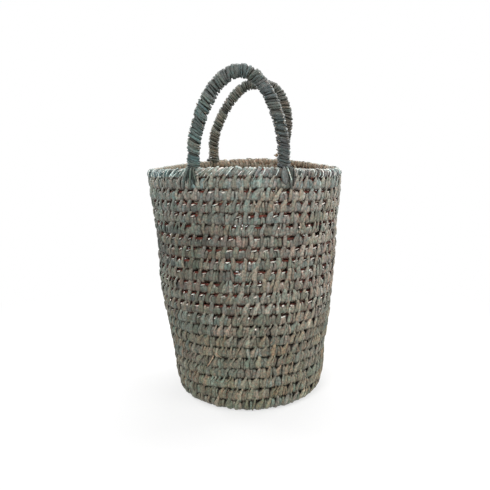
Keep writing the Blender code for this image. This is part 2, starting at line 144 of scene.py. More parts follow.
class End(Enum):
    """The end of a handle, as the sign of its X."""

    LEFT = -1
    RIGHT = 1


def add_node(
    tree: Tree, kind: str, output: str | None, inputs: dict[int | str, object], **settings: str
) -> Socket | None:
    """Add a shader node, set its inputs and link them.

    Args:
        tree: The tree that it goes into.
        kind: The node's type, without its prefix.
        output: The name of the output that is wanted, if it has one.
        inputs: For each input, a value or the output that feeds it.
        settings: The node's own settings.

    Returns:
        The output that was asked for.
    """
    made = tree.nodes.new(f"ShaderNode{kind}")
    for name, value in settings.items():
        setattr(made, name, value)
    feed(tree, made, inputs)
    return made.outputs[output] if output else None


def feed(tree: Tree, node: bpy.types.Node, inputs: dict[int | str, object]) -> None:
    """Give each input of a node its value, or link it to the output that feeds it."""
    for name, value in inputs.items():
        if isinstance(value, bpy.types.NodeSocket):
            tree.links.new(value, node.inputs[name])
        else:
            node.inputs[name].default_value = value


@dataclass(frozen=True)
class LeafFinish:
    """Dry palm leaf: a tint from the strips, fine fibres along them, and dust."""

    name: str
    roughness: float = 0.50
    gloss_spread: Pair = (-0.08, 0.14)
    fibre_count: float = 9.0
    fibre_stretch: float = 1.1
    fibre_tone: Pair = (0.58, 1.36)
    mottle_scale: float = 360.0
    mottle_tone: Pair = (0.46, 1.36)
    cool: Triple = (0.80, 1.03, 1.02)
    warm: Triple = (1.22, 0.97, 0.90)
    hue_scale: float = 250.0
    noise_middle: Pair = (0.3, 0.7)
    relief: float = 0.8
    relief_depth: float = 0.0012

    def material(self) -> bpy.types.Material:
        """Build the finish as a node material.

        Returns:
            The material, or the one built before under this name.
        """
        made = bpy.data.materials.get(self.name)
        if made is not None:
            return made
        made = bpy.data.materials.new(self.name)
        made.use_nodes = True
        tree = made.node_tree
        run = add_node(tree, "UVMap", "UV", {}, uv_map=RUN)
        scale = (self.fibre_count, self.fibre_stretch, 1)
        stretched = add_node(tree, "Mapping", "Vector", {"Vector": run, "Scale": scale})
        place = add_node(tree, "TexCoord", "Object", {})
        fibres = self._noise(tree, stretched, 1.0, 4.0)
        mottle = self._noise(tree, place, self.mottle_scale, 3.0)
        hue = self._noise(tree, place, self.hue_scale, 3.0)
        fibre_tone = self._spread(tree, fibres, *self.fibre_tone)
        mottle_tone = self._spread(tree, mottle, *self.mottle_tone)
        tones = {0: fibre_tone, 1: mottle_tone}
        tone = add_node(tree, "Math", "Value", tones, operation="MULTIPLY")
        casts = {"Factor": self._spread(tree, hue, 0.0, 1.0), "A": self.cool, "B": self.warm}
        cast = add_node(tree, "Mix", "Result", casts, data_type="VECTOR")
        tint = add_node(tree, "Attribute", "Color", {}, attribute_name=TINT)
        dyed = add_node(tree, "VectorMath", "Vector", {0: tint, 1: cast}, operation="MULTIPLY")
        toned = {"Vector": dyed, "Scale": tone}
        shaded = add_node(tree, "VectorMath", "Vector", toned, operation="SCALE")
        low, high = (self.roughness + step for step in self.gloss_spread)
        gloss = self._spread(tree, mottle, low, high)
        ridges = {"Strength": self.relief, "Distance": self.relief_depth, "Height": fibres}
        bump = add_node(tree, "Bump", "Normal", ridges)
        shader = tree.nodes["Principled BSDF"]
        feed(tree, shader, {"Base Color": shaded, "Roughness": gloss, "Normal": bump})
        return made

    def _noise(self, tree: Tree, place: Socket, scale: float, detail: float) -> Socket:
        """Add a noise texture."""
        inputs = {"Vector": place, "Scale": scale, "Detail": detail}
        return add_node(tree, "TexNoise", "Fac", inputs)

    def _spread(self, tree: Tree, noise: Socket, low: float, high: float) -> Socket:
        """Add a node that spreads the middle of a noise between two values."""
        start, end = self.noise_middle
        inputs = {"Value": noise, "From Min": start, "From Max": end, "To Min": low, "To Max": high}
        return add_node(tree, "MapRange", "Result", inputs)


LEAF = LeafFinish("dyed_palm_leaf")
BUNDLE = LeafFinish(
    "leaf_bundle", roughness=0.72, fibre_count=16.0, fibre_stretch=0.6, fibre_tone=(0.5, 1.3),
    relief=0.9,
)


@dataclass(frozen=True)
class Dye:
    """The colours of the dyed leaf, as screen values, by height and side; on the body the side shifts
    are partly a warmer tone on the right and partly painted light and shade.
    """

    heights: Numbers = (0.0, 0.10, 0.30, 0.50, 0.62, 0.72, 0.80, 0.90, 1.0)
    reds: Numbers = (122, 124, 118, 113, 108, 106, 115, 124, 130)
    greens: Numbers = (121, 121, 115, 112, 107, 105, 116, 125, 134)
    blues: Numbers = (104, 105, 102, 102, 98, 97, 107, 118, 129)
    # Side shifts: on the body partly tone and partly painted light and shade, by height; on the ropes
    # each leg's own tone.
    right_tint_and_light: Triple = (18, 15, 13)
    right_shares: Numbers = (0.0, -0.3, -0.20, 1.65, 1.35, 1.30, 1.1, 1.0, -0.8)
    left_tint_and_shade: Triple = (-18, -14, -14)
    left_shares: Numbers = (0.6, 0.7, 0.95, 1.25, 2.00, 2.00, 1.1, 1.0, 2.1)
    teal: Triple = (-9, 0, 3)
    tan: Triple = (8, 1, -3)
    pale: Triple = (20, 18, 16)
    dark: Triple = (-22, -21, -19)
    plain: Triple = (0, 0, 0)
    chances: Numbers = (0.27, 0.19, 0.09, 0.14, 0.31)
    strength: Pair = (0.4, 1.2)
    strip_jitter: float = 7.5
    leaf_jitter: float = 5.25
    hue_jitter: float = 1.6

    def strips(self, height: Values, across: Values, runs: Array, rng: Rng) -> Array:
        """Colour each strip by where it lies and by the leaf that it was cut from.

        Args:
            height: Share of the wall's height at each strip.
            across: Where each strip lies from the left (-1) to the right (1).
            runs: The number of the leaf that each strip is part of.
            rng: The source of chance.

        Returns:
            Screen colours, one row for each strip.
        """
        height = np.broadcast_to(height, runs.shape)
        across = np.broadcast_to(across, runs.shape)
        rows = (self.reds, self.greens, self.blues)
        tone = np.stack([np.interp(height, self.heights, row) for row in rows], axis=1)
        right = (across, self.right_tint_and_light, self.right_shares)
        left = (-across, self.left_tint_and_shade, self.left_shares)
        # Painted light and shade on the body: each side is made lighter or darker by shares that change
        # with height.
        for reach, shift, shares in (right, left):
            share = np.clip(reach, 0, 1) * np.interp(height, self.heights, shares)
            tone = tone + share[:, None] * np.array(shift)
        kinds = np.array([self.teal, self.tan, self.pale, self.dark, self.plain])
        leaves = Draws(rng, int(runs.max()) + 1)
        picked = rng.choice(len(kinds), size=leaves.count, p=self.chances)
        leaf = kinds[picked] * rng.uniform(*self.strength, (leaves.count, 1))
        leaf = leaf + leaves.tones(self.leaf_jitter)
        leaf = leaf + rng.normal(0, self.hue_jitter, (leaves.count, 3))
        return tone + leaf[runs] + Draws(rng, len(runs)).tones(self.strip_jitter)


def leaf_runs(count: int, rng: Rng) -> Array:
    """Number the leaves that strips come from, with one to four strips from each."""
    lengths = rng.integers(1, 4, count, endpoint=True)
    return np.repeat(np.arange(count), lengths)[:count]


class Space(Protocol):
    """Something that leaf is wound on: it turns a place on it into a point in the frame."""

    def put(self, place: Array, along: Array, out: Array, up: Array) -> Array:
        """Points in the frame, in metres, with the last axis x, y, z."""


@dataclass(frozen=True)
class Wave:
    """One of the waves that make a hand-made row stray."""

    size: float
    phase: float
    per_angle: float = 0.0
    per_row: float = 0.0
    per_turn: float = 0.0

    def at(self, angle: Array, row: Array, turn: Array) -> Array:
        """The wave's height, by the angle round, the row and the turn of the coil."""
        lag = self.per_angle * angle + self.per_row * row + TAU * self.per_turn * turn
        return self.size * np.sin(lag + self.phase)


@dataclass
class Coil:
    """The line that the one long coil follows, from the base's middle to the rim.

    The flare is a curve through pairs of shares, of the wall's height and of its flare.
    """

    wall_height: float = 0.3531
    mouth_radius: float = 0.1493
    base_radius: float = 0.1180
    corner_radius: float = 0.0140
    rim_saddle: float = 0.0047
    row_pitch: float = 0.0166
    row_gap: float = 0.0005
    thickness: float = 0.0120
    floor_flat: float = 0.0009
    start_fit: float = 0.78
    least_share: float = 0.05
    jog_share: float = 1 / 3
    jog_middle: float = math.radians(90)
    corner_steps: int = 20
    wall_steps: int = 80
    overshoot: float = 0.03
    up_wander: float = 0.0011
    out_wander: float = 0.0013
    rim_calm: float = 0.5
    rim_row_share: float = 0.70
    body_lean: float = 0.0064
    corner_fill: float = 0.0036
    corner_width: float = 0.013
    fill_drop: float = 0.2
    side_tuck: float = 0.0052
    tuck_width: float = 0.020
    tuck_gain: float = 1.4
    least_radius: float = 0.006
    least_reach: float = 0.0004
    flare: tuple[Pair, ...] = (
        (0.000, 0.000), (0.075, 0.000), (0.170, 0.055), (0.260, 0.190), (0.350, 0.340),
        (0.445, 0.475), (0.530, 0.560), (0.620, 0.610), (0.710, 0.665), (0.800, 0.770),
        (0.895, 0.905), (1.000, 1.000),
    )
    up_waves: tuple[Wave, ...] = (
        Wave(0.55, 0.7, 1, 0.23), Wave(0.35, 2.1, 2, -0.31), Wave(0.30, 4.0, 5, 0.9),
        Wave(0.32, 1.3, per_turn=4.31), Wave(0.22, 0.4, per_turn=9.73),
    )
    out_waves: tuple[Wave, ...] = (
        Wave(0.60, 1.1, 2, 0.35), Wave(0.45, 0.0, 3, -0.52),
        Wave(0.30, 2.2, per_turn=3.17), Wave(0.22, 5.1, per_turn=11.37),
    )
    lengths: Array = field(init=False)
    radii: Array = field(init=False)
    levels: Array = field(init=False)
    slopes: Array = field(init=False)
    crest: float = field(init=False)
    half_row: float = field(init=False)
    rim_turn: float = field(init=False)
    wall_turn: float = field(init=False)
    corner: float = field(init=False)

    def __post_init__(self) -> None:
        """Walk the wall's middle line once, and note how long it is at each point."""
        base, mouth = (r - self.thickness / 2 for r in (self.base_radius, self.mouth_radius))
        floor = self.thickness / 2 - self.floor_flat
        flat = base - self.corner_radius
        turn = np.linspace(0, math.pi / 2, self.corner_steps, endpoint=False)
        heights = np.linspace(floor + self.corner_radius, self.wall_height, self.wall_steps + 1)
        shares = np.array([self._flare_share(height / self.wall_height) for height in heights])
        last_slope = (shares[-1] - shares[-2]) * (mouth - base) / (heights[-1] - heights[-2])
        self.radii = np.concatenate([
            np.linspace(0, flat, self.corner_steps, endpoint=False),
            flat + self.corner_radius * np.sin(turn),
            base + (mouth - base) * shares,
            [mouth + last_slope * self.overshoot],
        ])
        self.levels = np.concatenate([
            np.full(self.corner_steps, floor),
            floor + self.corner_radius * (1 - np.cos(turn)),
            heights,
            [self.wall_height + self.overshoot],
        ])
        steps = np.hypot(np.diff(self.radii), np.diff(self.levels))
        self.lengths = np.concatenate([[0.0], np.cumsum(steps)])
        climb, spread = (np.gradient(line, self.lengths) for line in (self.levels, self.radii))
        self.slopes = np.unwrap(np.arctan2(climb, spread))
        self.crest = float(self.lengths[-2])
        self.half_row = (self.row_pitch - self.row_gap) / 2
        last_full = self.crest - self.half_row * (1 + 2 * self.rim_row_share) - self.row_gap
        self.rim_turn = last_full / self.row_pitch + 1
        self.corner = flat + self.corner_radius * math.pi / 4
        self.wall_turn = (flat + self.corner_radius * math.pi / 2) / self.row_pitch

    def _flare_share(self, height_share: float) -> float:
        """How far the wall has flared at a share of its height, through smooth curves."""
        rows = self.flare
        last = len(rows) - 1
        at = next((i for i in range(last) if height_share <= rows[i + 1][0]), last - 1)
        (x0, y0), (x1, y1) = rows[at], rows[at + 1]
        before, after = rows[max(at - 1, 0)], rows[min(at + 2, last)]
        slope0 = (y1 - before[1]) / (x1 - before[0])
        slope1 = (after[1] - y0) / (after[0] - x0)
        width = x1 - x0
        u = (height_share - x0) / width
        return (
            (2 * u**3 - 3 * u**2 + 1) * y0
            + (u**3 - 2 * u**2 + u) * width * slope0
            + (3 * u**2 - 2 * u**3) * y1
            + (u**3 - u**2) * width * slope1
        )

    def angle(self, turn: Values) -> Values:
        """The angle round the basket at a turn of the coil."""
        return self.jog_middle + math.pi * self.jog_share + TAU * (turn - self.rim_turn)

    def turn_at(self, angle: float, lowest: float) -> float:
        """The first turn from lowest on at which the coil passes an angle."""
        whole = (angle - self.jog_middle - math.pi * self.jog_share) / TAU + self.rim_turn
        return whole + math.ceil(lowest - whole)

    def _row_length(self, turn: Array) -> Array:
        """The length up the wall that the coil has reached at a turn below the rim."""
        share = np.mod(turn - self.rim_turn, 1)
        level = 1 - self.jog_share
        lag = np.where(share <= level, share, level * (1 - rise(share, level, self.jog_share)))
        weight = np.clip((turn - self.wall_turn) / (self.rim_turn - self.wall_turn), 0, 1)
        return self.row_pitch * (turn - weight * lag)

    def station(self, turn: Array) -> tuple[Array, Array]:
        """Where the coil lies at a turn.

        Args:
            turn: Turns of the coil, any shape.

        Returns:
            The length up the wall, and the bundle's thickness as a share of a full one.
        """
        rim = turn > self.rim_turn
        plain = self._row_length(turn)
        beneath = self._row_length(turn - 1) + self.half_row + self.row_gap
        bottom = np.where(rim, beneath, plain - self.half_row)
        top = np.where(rim, self.crest, np.minimum(plain + self.half_row, self.crest))
        length = (top + bottom) / 2
        share = np.minimum(
            (top - bottom) / (2 * self.half_row), self.start_fit * length / self.half_row
        )
        return length, np.clip(share, self.least_share, 1)

    def ring(self, turn: Array) -> Array:
        """The radius of the wall's middle line at a turn."""
        return np.maximum(np.interp(self.station(turn)[0], self.lengths, self.radii), self.least_radius)

    def turns(self, metres: Array, place: Array) -> Array:
        """How much of a turn some metres along the coil are, at a place."""
        return metres / (TAU * self.ring(place))

    def height_share(self, turn: Array) -> Array:
        """How high a turn lies, as a share of the wall's height."""
        return np.interp(self.station(turn)[0], self.lengths, self.levels) / self.wall_height

    def _wander(self, turn: Array, length: Array) -> tuple[Array, Array]:
        """How far a hand-made row strays, up the wall and out from it."""
        where = self.angle(turn), length / self.row_pitch, turn
        up, out = (sum(wave.at(*where) for wave in row) for row in (self.up_waves, self.out_waves))
        begun = ease((turn - self.wall_turn + 1) / 2)
        calm = 1 - self.rim_calm * ease(turn - self.rim_turn + 1)
        return up * self.up_wander * begun * calm, out * self.out_wander * begun * calm

    def put(self, place: Array, along: Array, out: Array, up: Array) -> Array:
        """Points beside the coil, in the frame.

        Args:
            place: The turn of the coil.
            along: Metres along the coil from there.
            out: Metres out from the wall's middle line.
            up: Metres up the wall from the coil's middle.

        Returns:
            Points, with the last axis x, y, z.
        """
        turn = place + self.turns(along, place)
        length, _ = self.station(turn)
        stray_up, stray_out = self._wander(turn, length)
        reach = np.maximum(length + stray_up + up, self.least_reach)
        lines = (self.slopes, self.radii, self.levels)
        slope, radius, level = (np.interp(reach, self.lengths, line) for line in lines)
        angle = self.angle(turn)
        side = out + stray_out
        full = bell(reach, self.corner, self.corner_width) * self.corner_fill
        tuck = bell(reach, self.corner, self.tuck_width) * self.side_tuck
        tuck = tuck * np.minimum(self.tuck_gain * np.abs(np.cos(angle)), 1)
        ring = radius + side * np.sin(slope) + full * np.clip(-np.sin(angle), 0, 1) - tuck
        height = level - side * np.cos(slope) - self.fill_drop * full
        lift = self.rim_saddle * (level / self.wall_height) * -np.cos(2 * angle)
        shift = self.body_lean * (1 - level / self.wall_height)
        spot = (ring * np.cos(angle) + shift, ring * np.sin(angle), height + lift)
        return np.stack([*spot[:2], np.maximum(spot[2], ABOVE_FLOOR)], axis=-1)


@dataclass
class Rope:
    """The line that a handle's rope follows, from its left foot over to its right one."""

    side: Side
    lean: float
    right_power: float
    bow: float
    phase: float
    left_power: float = 2.0
    half_span: float = 0.0612
    rise: float = 0.1188
    straight: float = 0.0190
    height_power: float = 1.35
    pivot_y: float = 0.12767
    pivot_z: float = 0.36601
    steps: int = 400
    wander: float = 0.0009
    waves_across: float = 31.0
    waves_up: float = 43.0
    steady_length: float = 0.05
    run_step: float = 0.002
    points: Array = field(init=False)
    walked: Array = field(init=False)

    def __post_init__(self) -> None:
        """Walk the rope once, and note how long it is at each point."""
        angle = np.linspace(0, math.pi, self.steps + 1)
        raised = np.maximum(np.sin(angle), 0) ** (2 / self.height_power)
        share = -np.cos(angle)
        power = np.where(share > 0, self.right_power, self.left_power)
        across = np.sign(share) * np.abs(share) ** (2 / power) * self.half_span
        across = across + np.where(share > 0, 4 * self.bow * raised * (1 - raised), 0)
        across = across + self.lean * raised**2
        above = self.straight + (self.rise - self.straight) * raised
        x = np.concatenate([[-self.half_span], across, [self.half_span]])
        z = np.concatenate([[0.0], above, [0.0]])
        y = np.full(len(x), self.side.value * self.pivot_y)
        self.points = np.stack([x, y, z + self.pivot_z], axis=1)
        gaps = np.linalg.norm(np.diff(self.points, axis=0), axis=1)
        self.walked = np.concatenate([[0.0], np.cumsum(gaps)])

    @property
    def length(self) -> float:
        """The rope's length from foot to foot."""
        return float(self.walked[-1])

    def _point(self, walked: Array) -> Array:
        """Points of the rope's middle line; beyond a foot it runs straight on down."""
        held = np.clip(walked, 0, self.length)
        spot = np.stack([np.interp(held, self.walked, row) for row in self.points.T], axis=-1)
        spot[..., 2] += np.minimum(walked, 0) - np.maximum(walked - self.length, 0)
        free = ease(walked / self.steady_length) * ease((self.length - walked) / self.steady_length)
        spot[..., 0] += self.wander * free * np.sin(self.waves_across * walked + self.phase)
        spot[..., 2] += self.wander * free * np.sin(self.waves_up * walked + 2 * self.phase)
        return spot

    def put(self, place: Array, along: Array, out: Array, up: Array) -> Array:
        """Points beside the rope, in the frame.

        Args:
            place: Metres walked along the rope.
            along: Metres further along it.
            out: Metres out from the middle of the arch.
            up: Metres towards the back.

        Returns:
            Points, with the last axis x, y, z.
        """
        walked = place + along
        run = self._point(walked + self.run_step) - self._point(walked - self.run_step)
        run /= np.linalg.norm(run, axis=-1, keepdims=True)
        outward = np.stack([-run[..., 2], np.zeros_like(walked), run[..., 0]], axis=-1)
        spot = self._point(walked) + outward * out[..., None]
        spot[..., 1] += up
        return spot


@dataclass
class Ball:
    """A small knot that leaf is wound over, every place being a way round it."""

    centre: Triple

    def put(self, place: Array, along: Array, out: Array, up: Array) -> Array:
        """Points beside the knot, in the frame."""
        x = out * np.cos(place) - along * np.sin(place)
        y = out * np.sin(place) + along * np.cos(place)
        spot = np.stack([x, y, up + np.zeros_like(x)], axis=-1) + np.array(self.centre)
        spot[..., 2] = np.maximum(spot[..., 2], ABOVE_FLOOR)
        return spot


@dataclass
class UnitTurn:
    """One closed turn of a crowned strip, to be repeated and then laid in place."""

    rings: int
    section: tuple[Pair, ...] = ((-1.0, 0.0), (-0.62, 0.74), (0.0, 1.0), (0.62, 0.74), (1.0, 0.0))
    sharp: float = math.radians(60)
    mesh: bpy.types.Mesh = field(init=False)
    round_angle: Array = field(init=False)
    across: Array = field(init=False)
    crown: Array = field(init=False)
    corner_vert: Array = field(init=False)
    corner_angle: Array = field(init=False)

    def __post_init__(self) -> None:
        """Spin the strip's section once round, and read off where each point lies."""
        work = bmesh.new()
        made = bmesh.ops.create_circle(work, segments=len(self.section), radius=1)
        for vert, (across, crown) in zip(made["verts"], self.section):
            vert.co = (-1 - crown * UNIT_SECTION, 0, across * UNIT_SECTION)
        bmesh.ops.spin(
            work, geom=work.verts[:] + work.edges[:], cent=(0, 0, 0), axis=(0, 0, 1),
            dvec=(0, 0, 0), angle=TAU, steps=self.rings, use_merge=True,
            use_normal_flip=False, use_duplicate=False,
        )
        bmesh.ops.recalc_face_normals(work, faces=work.faces)
        self.mesh = finished_mesh(work, f"unit_turn_{self.rings}")
        self.mesh.set_sharp_from_angle(angle=self.sharp)
        points = np.empty(len(self.mesh.vertices) * 3)
        self.mesh.vertices.foreach_get("co", points)
        x, y, z = points.reshape(-1, 3).T
        around = np.arctan2(y, x)
        self.round_angle = np.where(around < -math.pi + SEAM_WIDTH, around + TAU, around)
        self.crown = (np.hypot(x, y) - 1) / UNIT_SECTION
        self.across = z / UNIT_SECTION
        self.corner_vert = np.empty(len(self.mesh.loops), int)
        self.mesh.loops.foreach_get("vertex_index", self.corner_vert)
        self.corner_angle = self.round_angle[self.corner_vert].copy()
        for face in self.mesh.polygons:
            corners = list(face.loop_indices)
            angles = self.corner_angle[corners]
            if np.ptp(angles) > math.pi:
                self.corner_angle[corners] = np.where(angles > 0, angles - TAU, angles)

    def repeated(self, name: str, count: int) -> bpy.types.Mesh:
        """Repeat the turn in one mesh, all copies in the same place.

        Args:
            name: The name of the new mesh.
            count: How many turns it holds.

        Returns:
            The new mesh, one turn after the other.
        """
        holder = place_object(name, self.mesh)
        array = holder.modifiers.new("repeat", "ARRAY")
        array.count = count
        array.use_relative_offset = False
        array.use_constant_offset = False
        bpy.context.view_layer.update()
        seen = holder.evaluated_get(bpy.context.evaluated_depsgraph_get())
        mesh = bpy.data.meshes.new_from_object(seen)
        mesh.name = name
        bpy.data.objects.remove(holder)
        return mesh


@dataclass
class Turns:
    """Many turns of leaf; an array holds one value for each turn."""

    place: Array
    half_out: Values
    half_up: Values
    width: Values
    crown: Values
    colour: Array
    mid_out: Values = 0.0
    mid_up: Values = 0.0
    lean_up: Values = 0.0
    lean_out: Values = 0.0
    hinge_up: Values = 0.0
    shift: Values = 0.0
    shingle: Values = 0.0
    pinch: Values = 0.0
    neck: Values = 0.0
    neck_from: Values = 0.0
    neck_length: float = 0.0035
    hook: Values = 0.0
    hook_length: float = 0.007
    tilt: Values = 0.0
    openness: Values = 0.0
    squareness: float = 2.25
    sway: float = 0.0006
    rough: float = 0.00030
    rough_waves: tuple[Pair, ...] = ((2, 1.0), (3, 0.8), (5, 0.6))

    def each(self, value: Values) -> Array:
        """One value for each turn, in a column."""
        return np.broadcast_to(np.asarray(value, float), self.place.shape)[:, None]

    def only(self, held: Array) -> Turns:
        """The turns for which held is true."""
        arrays = {key: value for key, value in vars(self).items() if isinstance(value, np.ndarray)}
        return replace(self, **{key: value[held] for key, value in arrays.items()})

    def _path(self, around: Array, phases: Array) -> Array:
        """The line that each turn follows, as out, up and minus along."""
        c, s = np.cos(around), np.sin(around)
        power = 2 / self.squareness
        out = self.each(self.half_out) * np.sign(c) * np.abs(c) ** power
        up = self.each(self.half_up) * np.sign(s) * np.abs(s) ** power
        hooked = ease((up + self.each(self.mid_up - self.neck_from)) / self.hook_length)
        along = (
            self.each(self.shift)
            + np.tan(self.each(self.lean_up)) * (up + self.each(self.mid_up - self.hinge_up))
            + np.tan(self.each(self.lean_out)) * out
            + self.each(self.hook) * hooked
            + self.sway * np.sin(2 * around + phases[:, 0:1])
        )
        return np.stack([out + self.each(self.mid_out), up + self.each(self.mid_up), -along], -1)

    def lay(
        self, unit: UnitTurn, space: Space, rng: Rng
    ) -> tuple[Array, Array, Array]:
        """Find where every point of every turn lies.

        Args:
            unit: The turn that is repeated.
            space: What the leaf is wound on.
            rng: The source of chance.

        Returns:
            The points, and where each lies in the section, up and out, as shares of its
            half sizes.
        """
        phases = rng.uniform(0, TAU, (len(self.place), 1 + len(self.rough_waves)))
        around = unit.round_angle[None, :] + np.zeros((len(self.place), 1))
        here = self._path(around, phases)
        run = self._path(around + BEND_STEP, phases) - self._path(around - BEND_STEP, phases)
        normal = np.stack([run[..., 1], -run[..., 0], np.zeros_like(around)], axis=-1)
        normal /= np.linalg.norm(normal, axis=-1, keepdims=True)
        side = np.cross(normal, run)
        side /= np.linalg.norm(side, axis=-1, keepdims=True)
        level = (here[..., 1] - self.each(self.mid_up)) / self.each(self.half_up)
        outward = (here[..., 0] - self.each(self.mid_out)) / self.each(self.half_out)
        neck = self.each(self.neck) * rise(here[..., 1], self.each(self.neck_from), self.neck_length)
        width = self.each(self.width) * (1 - self.each(self.pinch) * np.abs(level) ** 3)
        width = width * (1 - neck)
        rough = self.rough * sum(
            size * np.sin(waves * around + phases[:, [at]])
            for at, (waves, size) in enumerate(self.rough_waves, start=1)
        )
        across, crown = unit.across[None, :], unit.crown[None, :]
        lift = crown * self.each(self.crown) + across * self.each(self.shingle) + rough
        spot = here + side * (across * width)[..., None] + normal * lift[..., None]
        out, up, back = np.moveaxis(spot, -1, 0)
        place = self.each(self.place) + np.zeros_like(around)
        return space.put(place, -back, out, up - back * self.each(self.tilt)), level, outward


@dataclass(frozen=True)
class Shading:
    """How leaf changes tone round a row: painted highlight on top, painted shade beneath and at the
    strip edges, tan inside.

    Each zone says where in the section a tone begins, and over what length it grows.
    """

    # Painted highlight: the crest of each turn is painted pale where light catches its top.
    crest: Triple = (250, 244, 234)
    highlight_tight: float = 0.10
    highlight_open: float = 0.85
    highlight_zone: Pair = (0.74, 0.22)
    # Painted shade beneath each turn: near black where rows lie tight; where they stand open, a
    # red-brown that is partly undyed leaf and partly painted shade.
    under_shade_tight: Triple = (30, 25, 21)
    under_brown_and_shade: Triple = (128, 50, 37)
    under_shade_share: float = 0.66
    under_shade_zone: Pair = (0.62, 0.36)
    inside: Triple = (150, 128, 104)
    inside_share: float = 0.6
    inside_zone: Pair = (0.1, -0.8)
    # Painted shade at each strip's side edges, where one strip meets the next.
    groove_shade: Triple = (40, 36, 31)
    groove_shade_share: float = 0.62
    groove_shade_zone: Pair = (0.55, 0.45)
    # Pale outer edge of a turn: partly wear and partly a painted glint.
    wear_and_glint: Triple = (236, 241, 240)
    wear_and_glint_share: float = 0.0
    wear_and_glint_zone: Pair = (0.80, 0.16)

    def colours(
        self, base: Array, across: Array, level: Array, outward: Array, openness: Array
    ) -> Array:
        """Colour every point of every turn.

        Args:
            base: The strips' screen colours.
            across: Where each point lies across its strip, from -1 to 1.
            level: How high each point lies in its section, from -1 to 1.
            outward: How far out each point lies in its section, from -1 to 1.
            openness: How openly each turn's row is stitched, in a column; it scales the painted crest
                highlight and the pale outer edge, and sets the painted shade beneath.

        Returns:
            Linear colours with alpha.
        """
        tone = base[:, None, :] + np.zeros((*level.shape, 1))
        # Painted shade beneath: near black in tight rows, partly undyed red-brown leaf in open ones.
        tight, opened = np.array(self.under_shade_tight), np.array(self.under_brown_and_shade)
        under = (tight + (opened - tight) * openness)[:, None, :]
        highlight_share = self.highlight_tight + (self.highlight_open - self.highlight_tight) * openness
        # Lay the tan inside, the painted crest highlight, the painted shade beneath, the pale outer
        # edge and the painted shade at the strip edges over the strip's colour.
        for colour, share, value, zone in (
            (self.inside, self.inside_share, outward, self.inside_zone),
            (self.crest, highlight_share, level, self.highlight_zone),
            (under, self.under_shade_share, -level, self.under_shade_zone),
            (self.wear_and_glint, self.wear_and_glint_share * openness, outward, self.wear_and_glint_zone),
            (self.groove_shade, self.groove_shade_share, np.abs(across), self.groove_shade_zone),
        ):
            tone = tone + (np.array(colour) - tone) * (share * rise(value, *zone))[..., None]
        return np.concatenate([linear(tone), np.ones((*level.shape, 1))], axis=-1)


# Single fibres keep one tone; rope windings get painted shade at their strip edges and, on some turns,
# a pale outer edge that is partly wear and partly painted glint; highlight strips keep a painted pale
# tone over painted shade beneath.
FIBRE = Shading(highlight_tight=0, highlight_open=0, under_shade_share=0, inside_share=0, groove_shade_share=0)
PLAIN = replace(FIBRE, groove_shade_share=0.9, wear_and_glint_share=0.8)
HIGHLIGHT_STRIP = Shading(highlight_tight=0, under_shade_tight=(84, 84, 76), under_shade_share=1, groove_shade_share=0)


def finished_mesh(work: bmesh.types.BMesh, name: str) -> bpy.types.Mesh:
    """Make a smooth mesh of a bmesh, and free the bmesh."""
    mesh = bpy.data.meshes.new(name)
    work.to_mesh(mesh)
    work.free()
    mesh.shade_smooth()
    return mesh


def place_object(name: str, data: bpy.types.ID) -> bpy.types.Object:
    """Make an object of a mesh, a lamp or a camera, and put it in the scene."""
    made = bpy.data.objects.new(name, data)
    bpy.context.scene.collection.objects.link(made)
    return made


def add_piece(
    name: str, mesh: bpy.types.Mesh, body: Body, finish: LeafFinish, stands_for: tuple[str, ...] = ()
) -> None:
    """Make an object of a mesh, dress it and let it ride on a body.

    Args:
        name: The piece's name.
        mesh: Its mesh, with its place in it.
        body: The body that it moves with.
        finish: What it is made of.
        stands_for: The frame's nodes that it replaces.
    """
    piece = place_object(name, mesh)
    mesh.name = name
    mesh.materials.clear()
    mesh.materials.append(finish.material())
    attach(piece, body.value)
    if stands_for:
        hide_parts(*stands_for)
    log.info("%s: %d faces, on %s", name, len(mesh.polygons), body.value)


def wind(
    name: str, turns: Turns, rings: int, space: Space, body: Body, rng: Rng,
    shading: Shading = Shading(), stands_for: tuple[str, ...] = (),
) -> None:
    """Wind many turns of leaf onto something, as one piece.

    Args:
        name: The piece's name.
        turns: The turns.
        rings: How many steps each turn has.
        space: What they are wound on.
        body: The body that the piece moves with.
        rng: The source of chance.
        shading: How the leaf changes tone round its section.
        stands_for: The frame's nodes that the piece replaces.
    """
    unit = UnitTurn(rings)
    mesh = unit.repeated(name, len(turns.place))
    points, level, outward = turns.lay(unit, space, rng)
    mesh.vertices.foreach_set("co", points.reshape(-1))
    across = np.broadcast_to(unit.across[None, :], level.shape)
    colours = shading.colours(turns.colour, across, level, outward, turns.each(turns.openness))
    tint = mesh.color_attributes.new(TINT, "FLOAT_COLOR", "POINT")
    tint.data.foreach_set("color", colours.reshape(-1))
    run = mesh.uv_layers.new(name=RUN)
    starts = rng.uniform(0, RUN_SPREAD, (len(turns.place), 2))
    across = unit.across[unit.corner_vert][None, :] * turns.each(turns.width) * RUN_PER_METRE
    around = turns.each(np.pi * (turns.half_out + turns.half_up))
    length = unit.corner_angle[None, :] / TAU * around * RUN_PER_METRE
    uv = np.stack([across + starts[:, 0:1], length + starts[:, 1:2]], axis=-1)
    run.data.foreach_set("uv", uv.reshape(-1))
    mesh.update()
    add_piece(name, mesh, body, LEAF, stands_for)


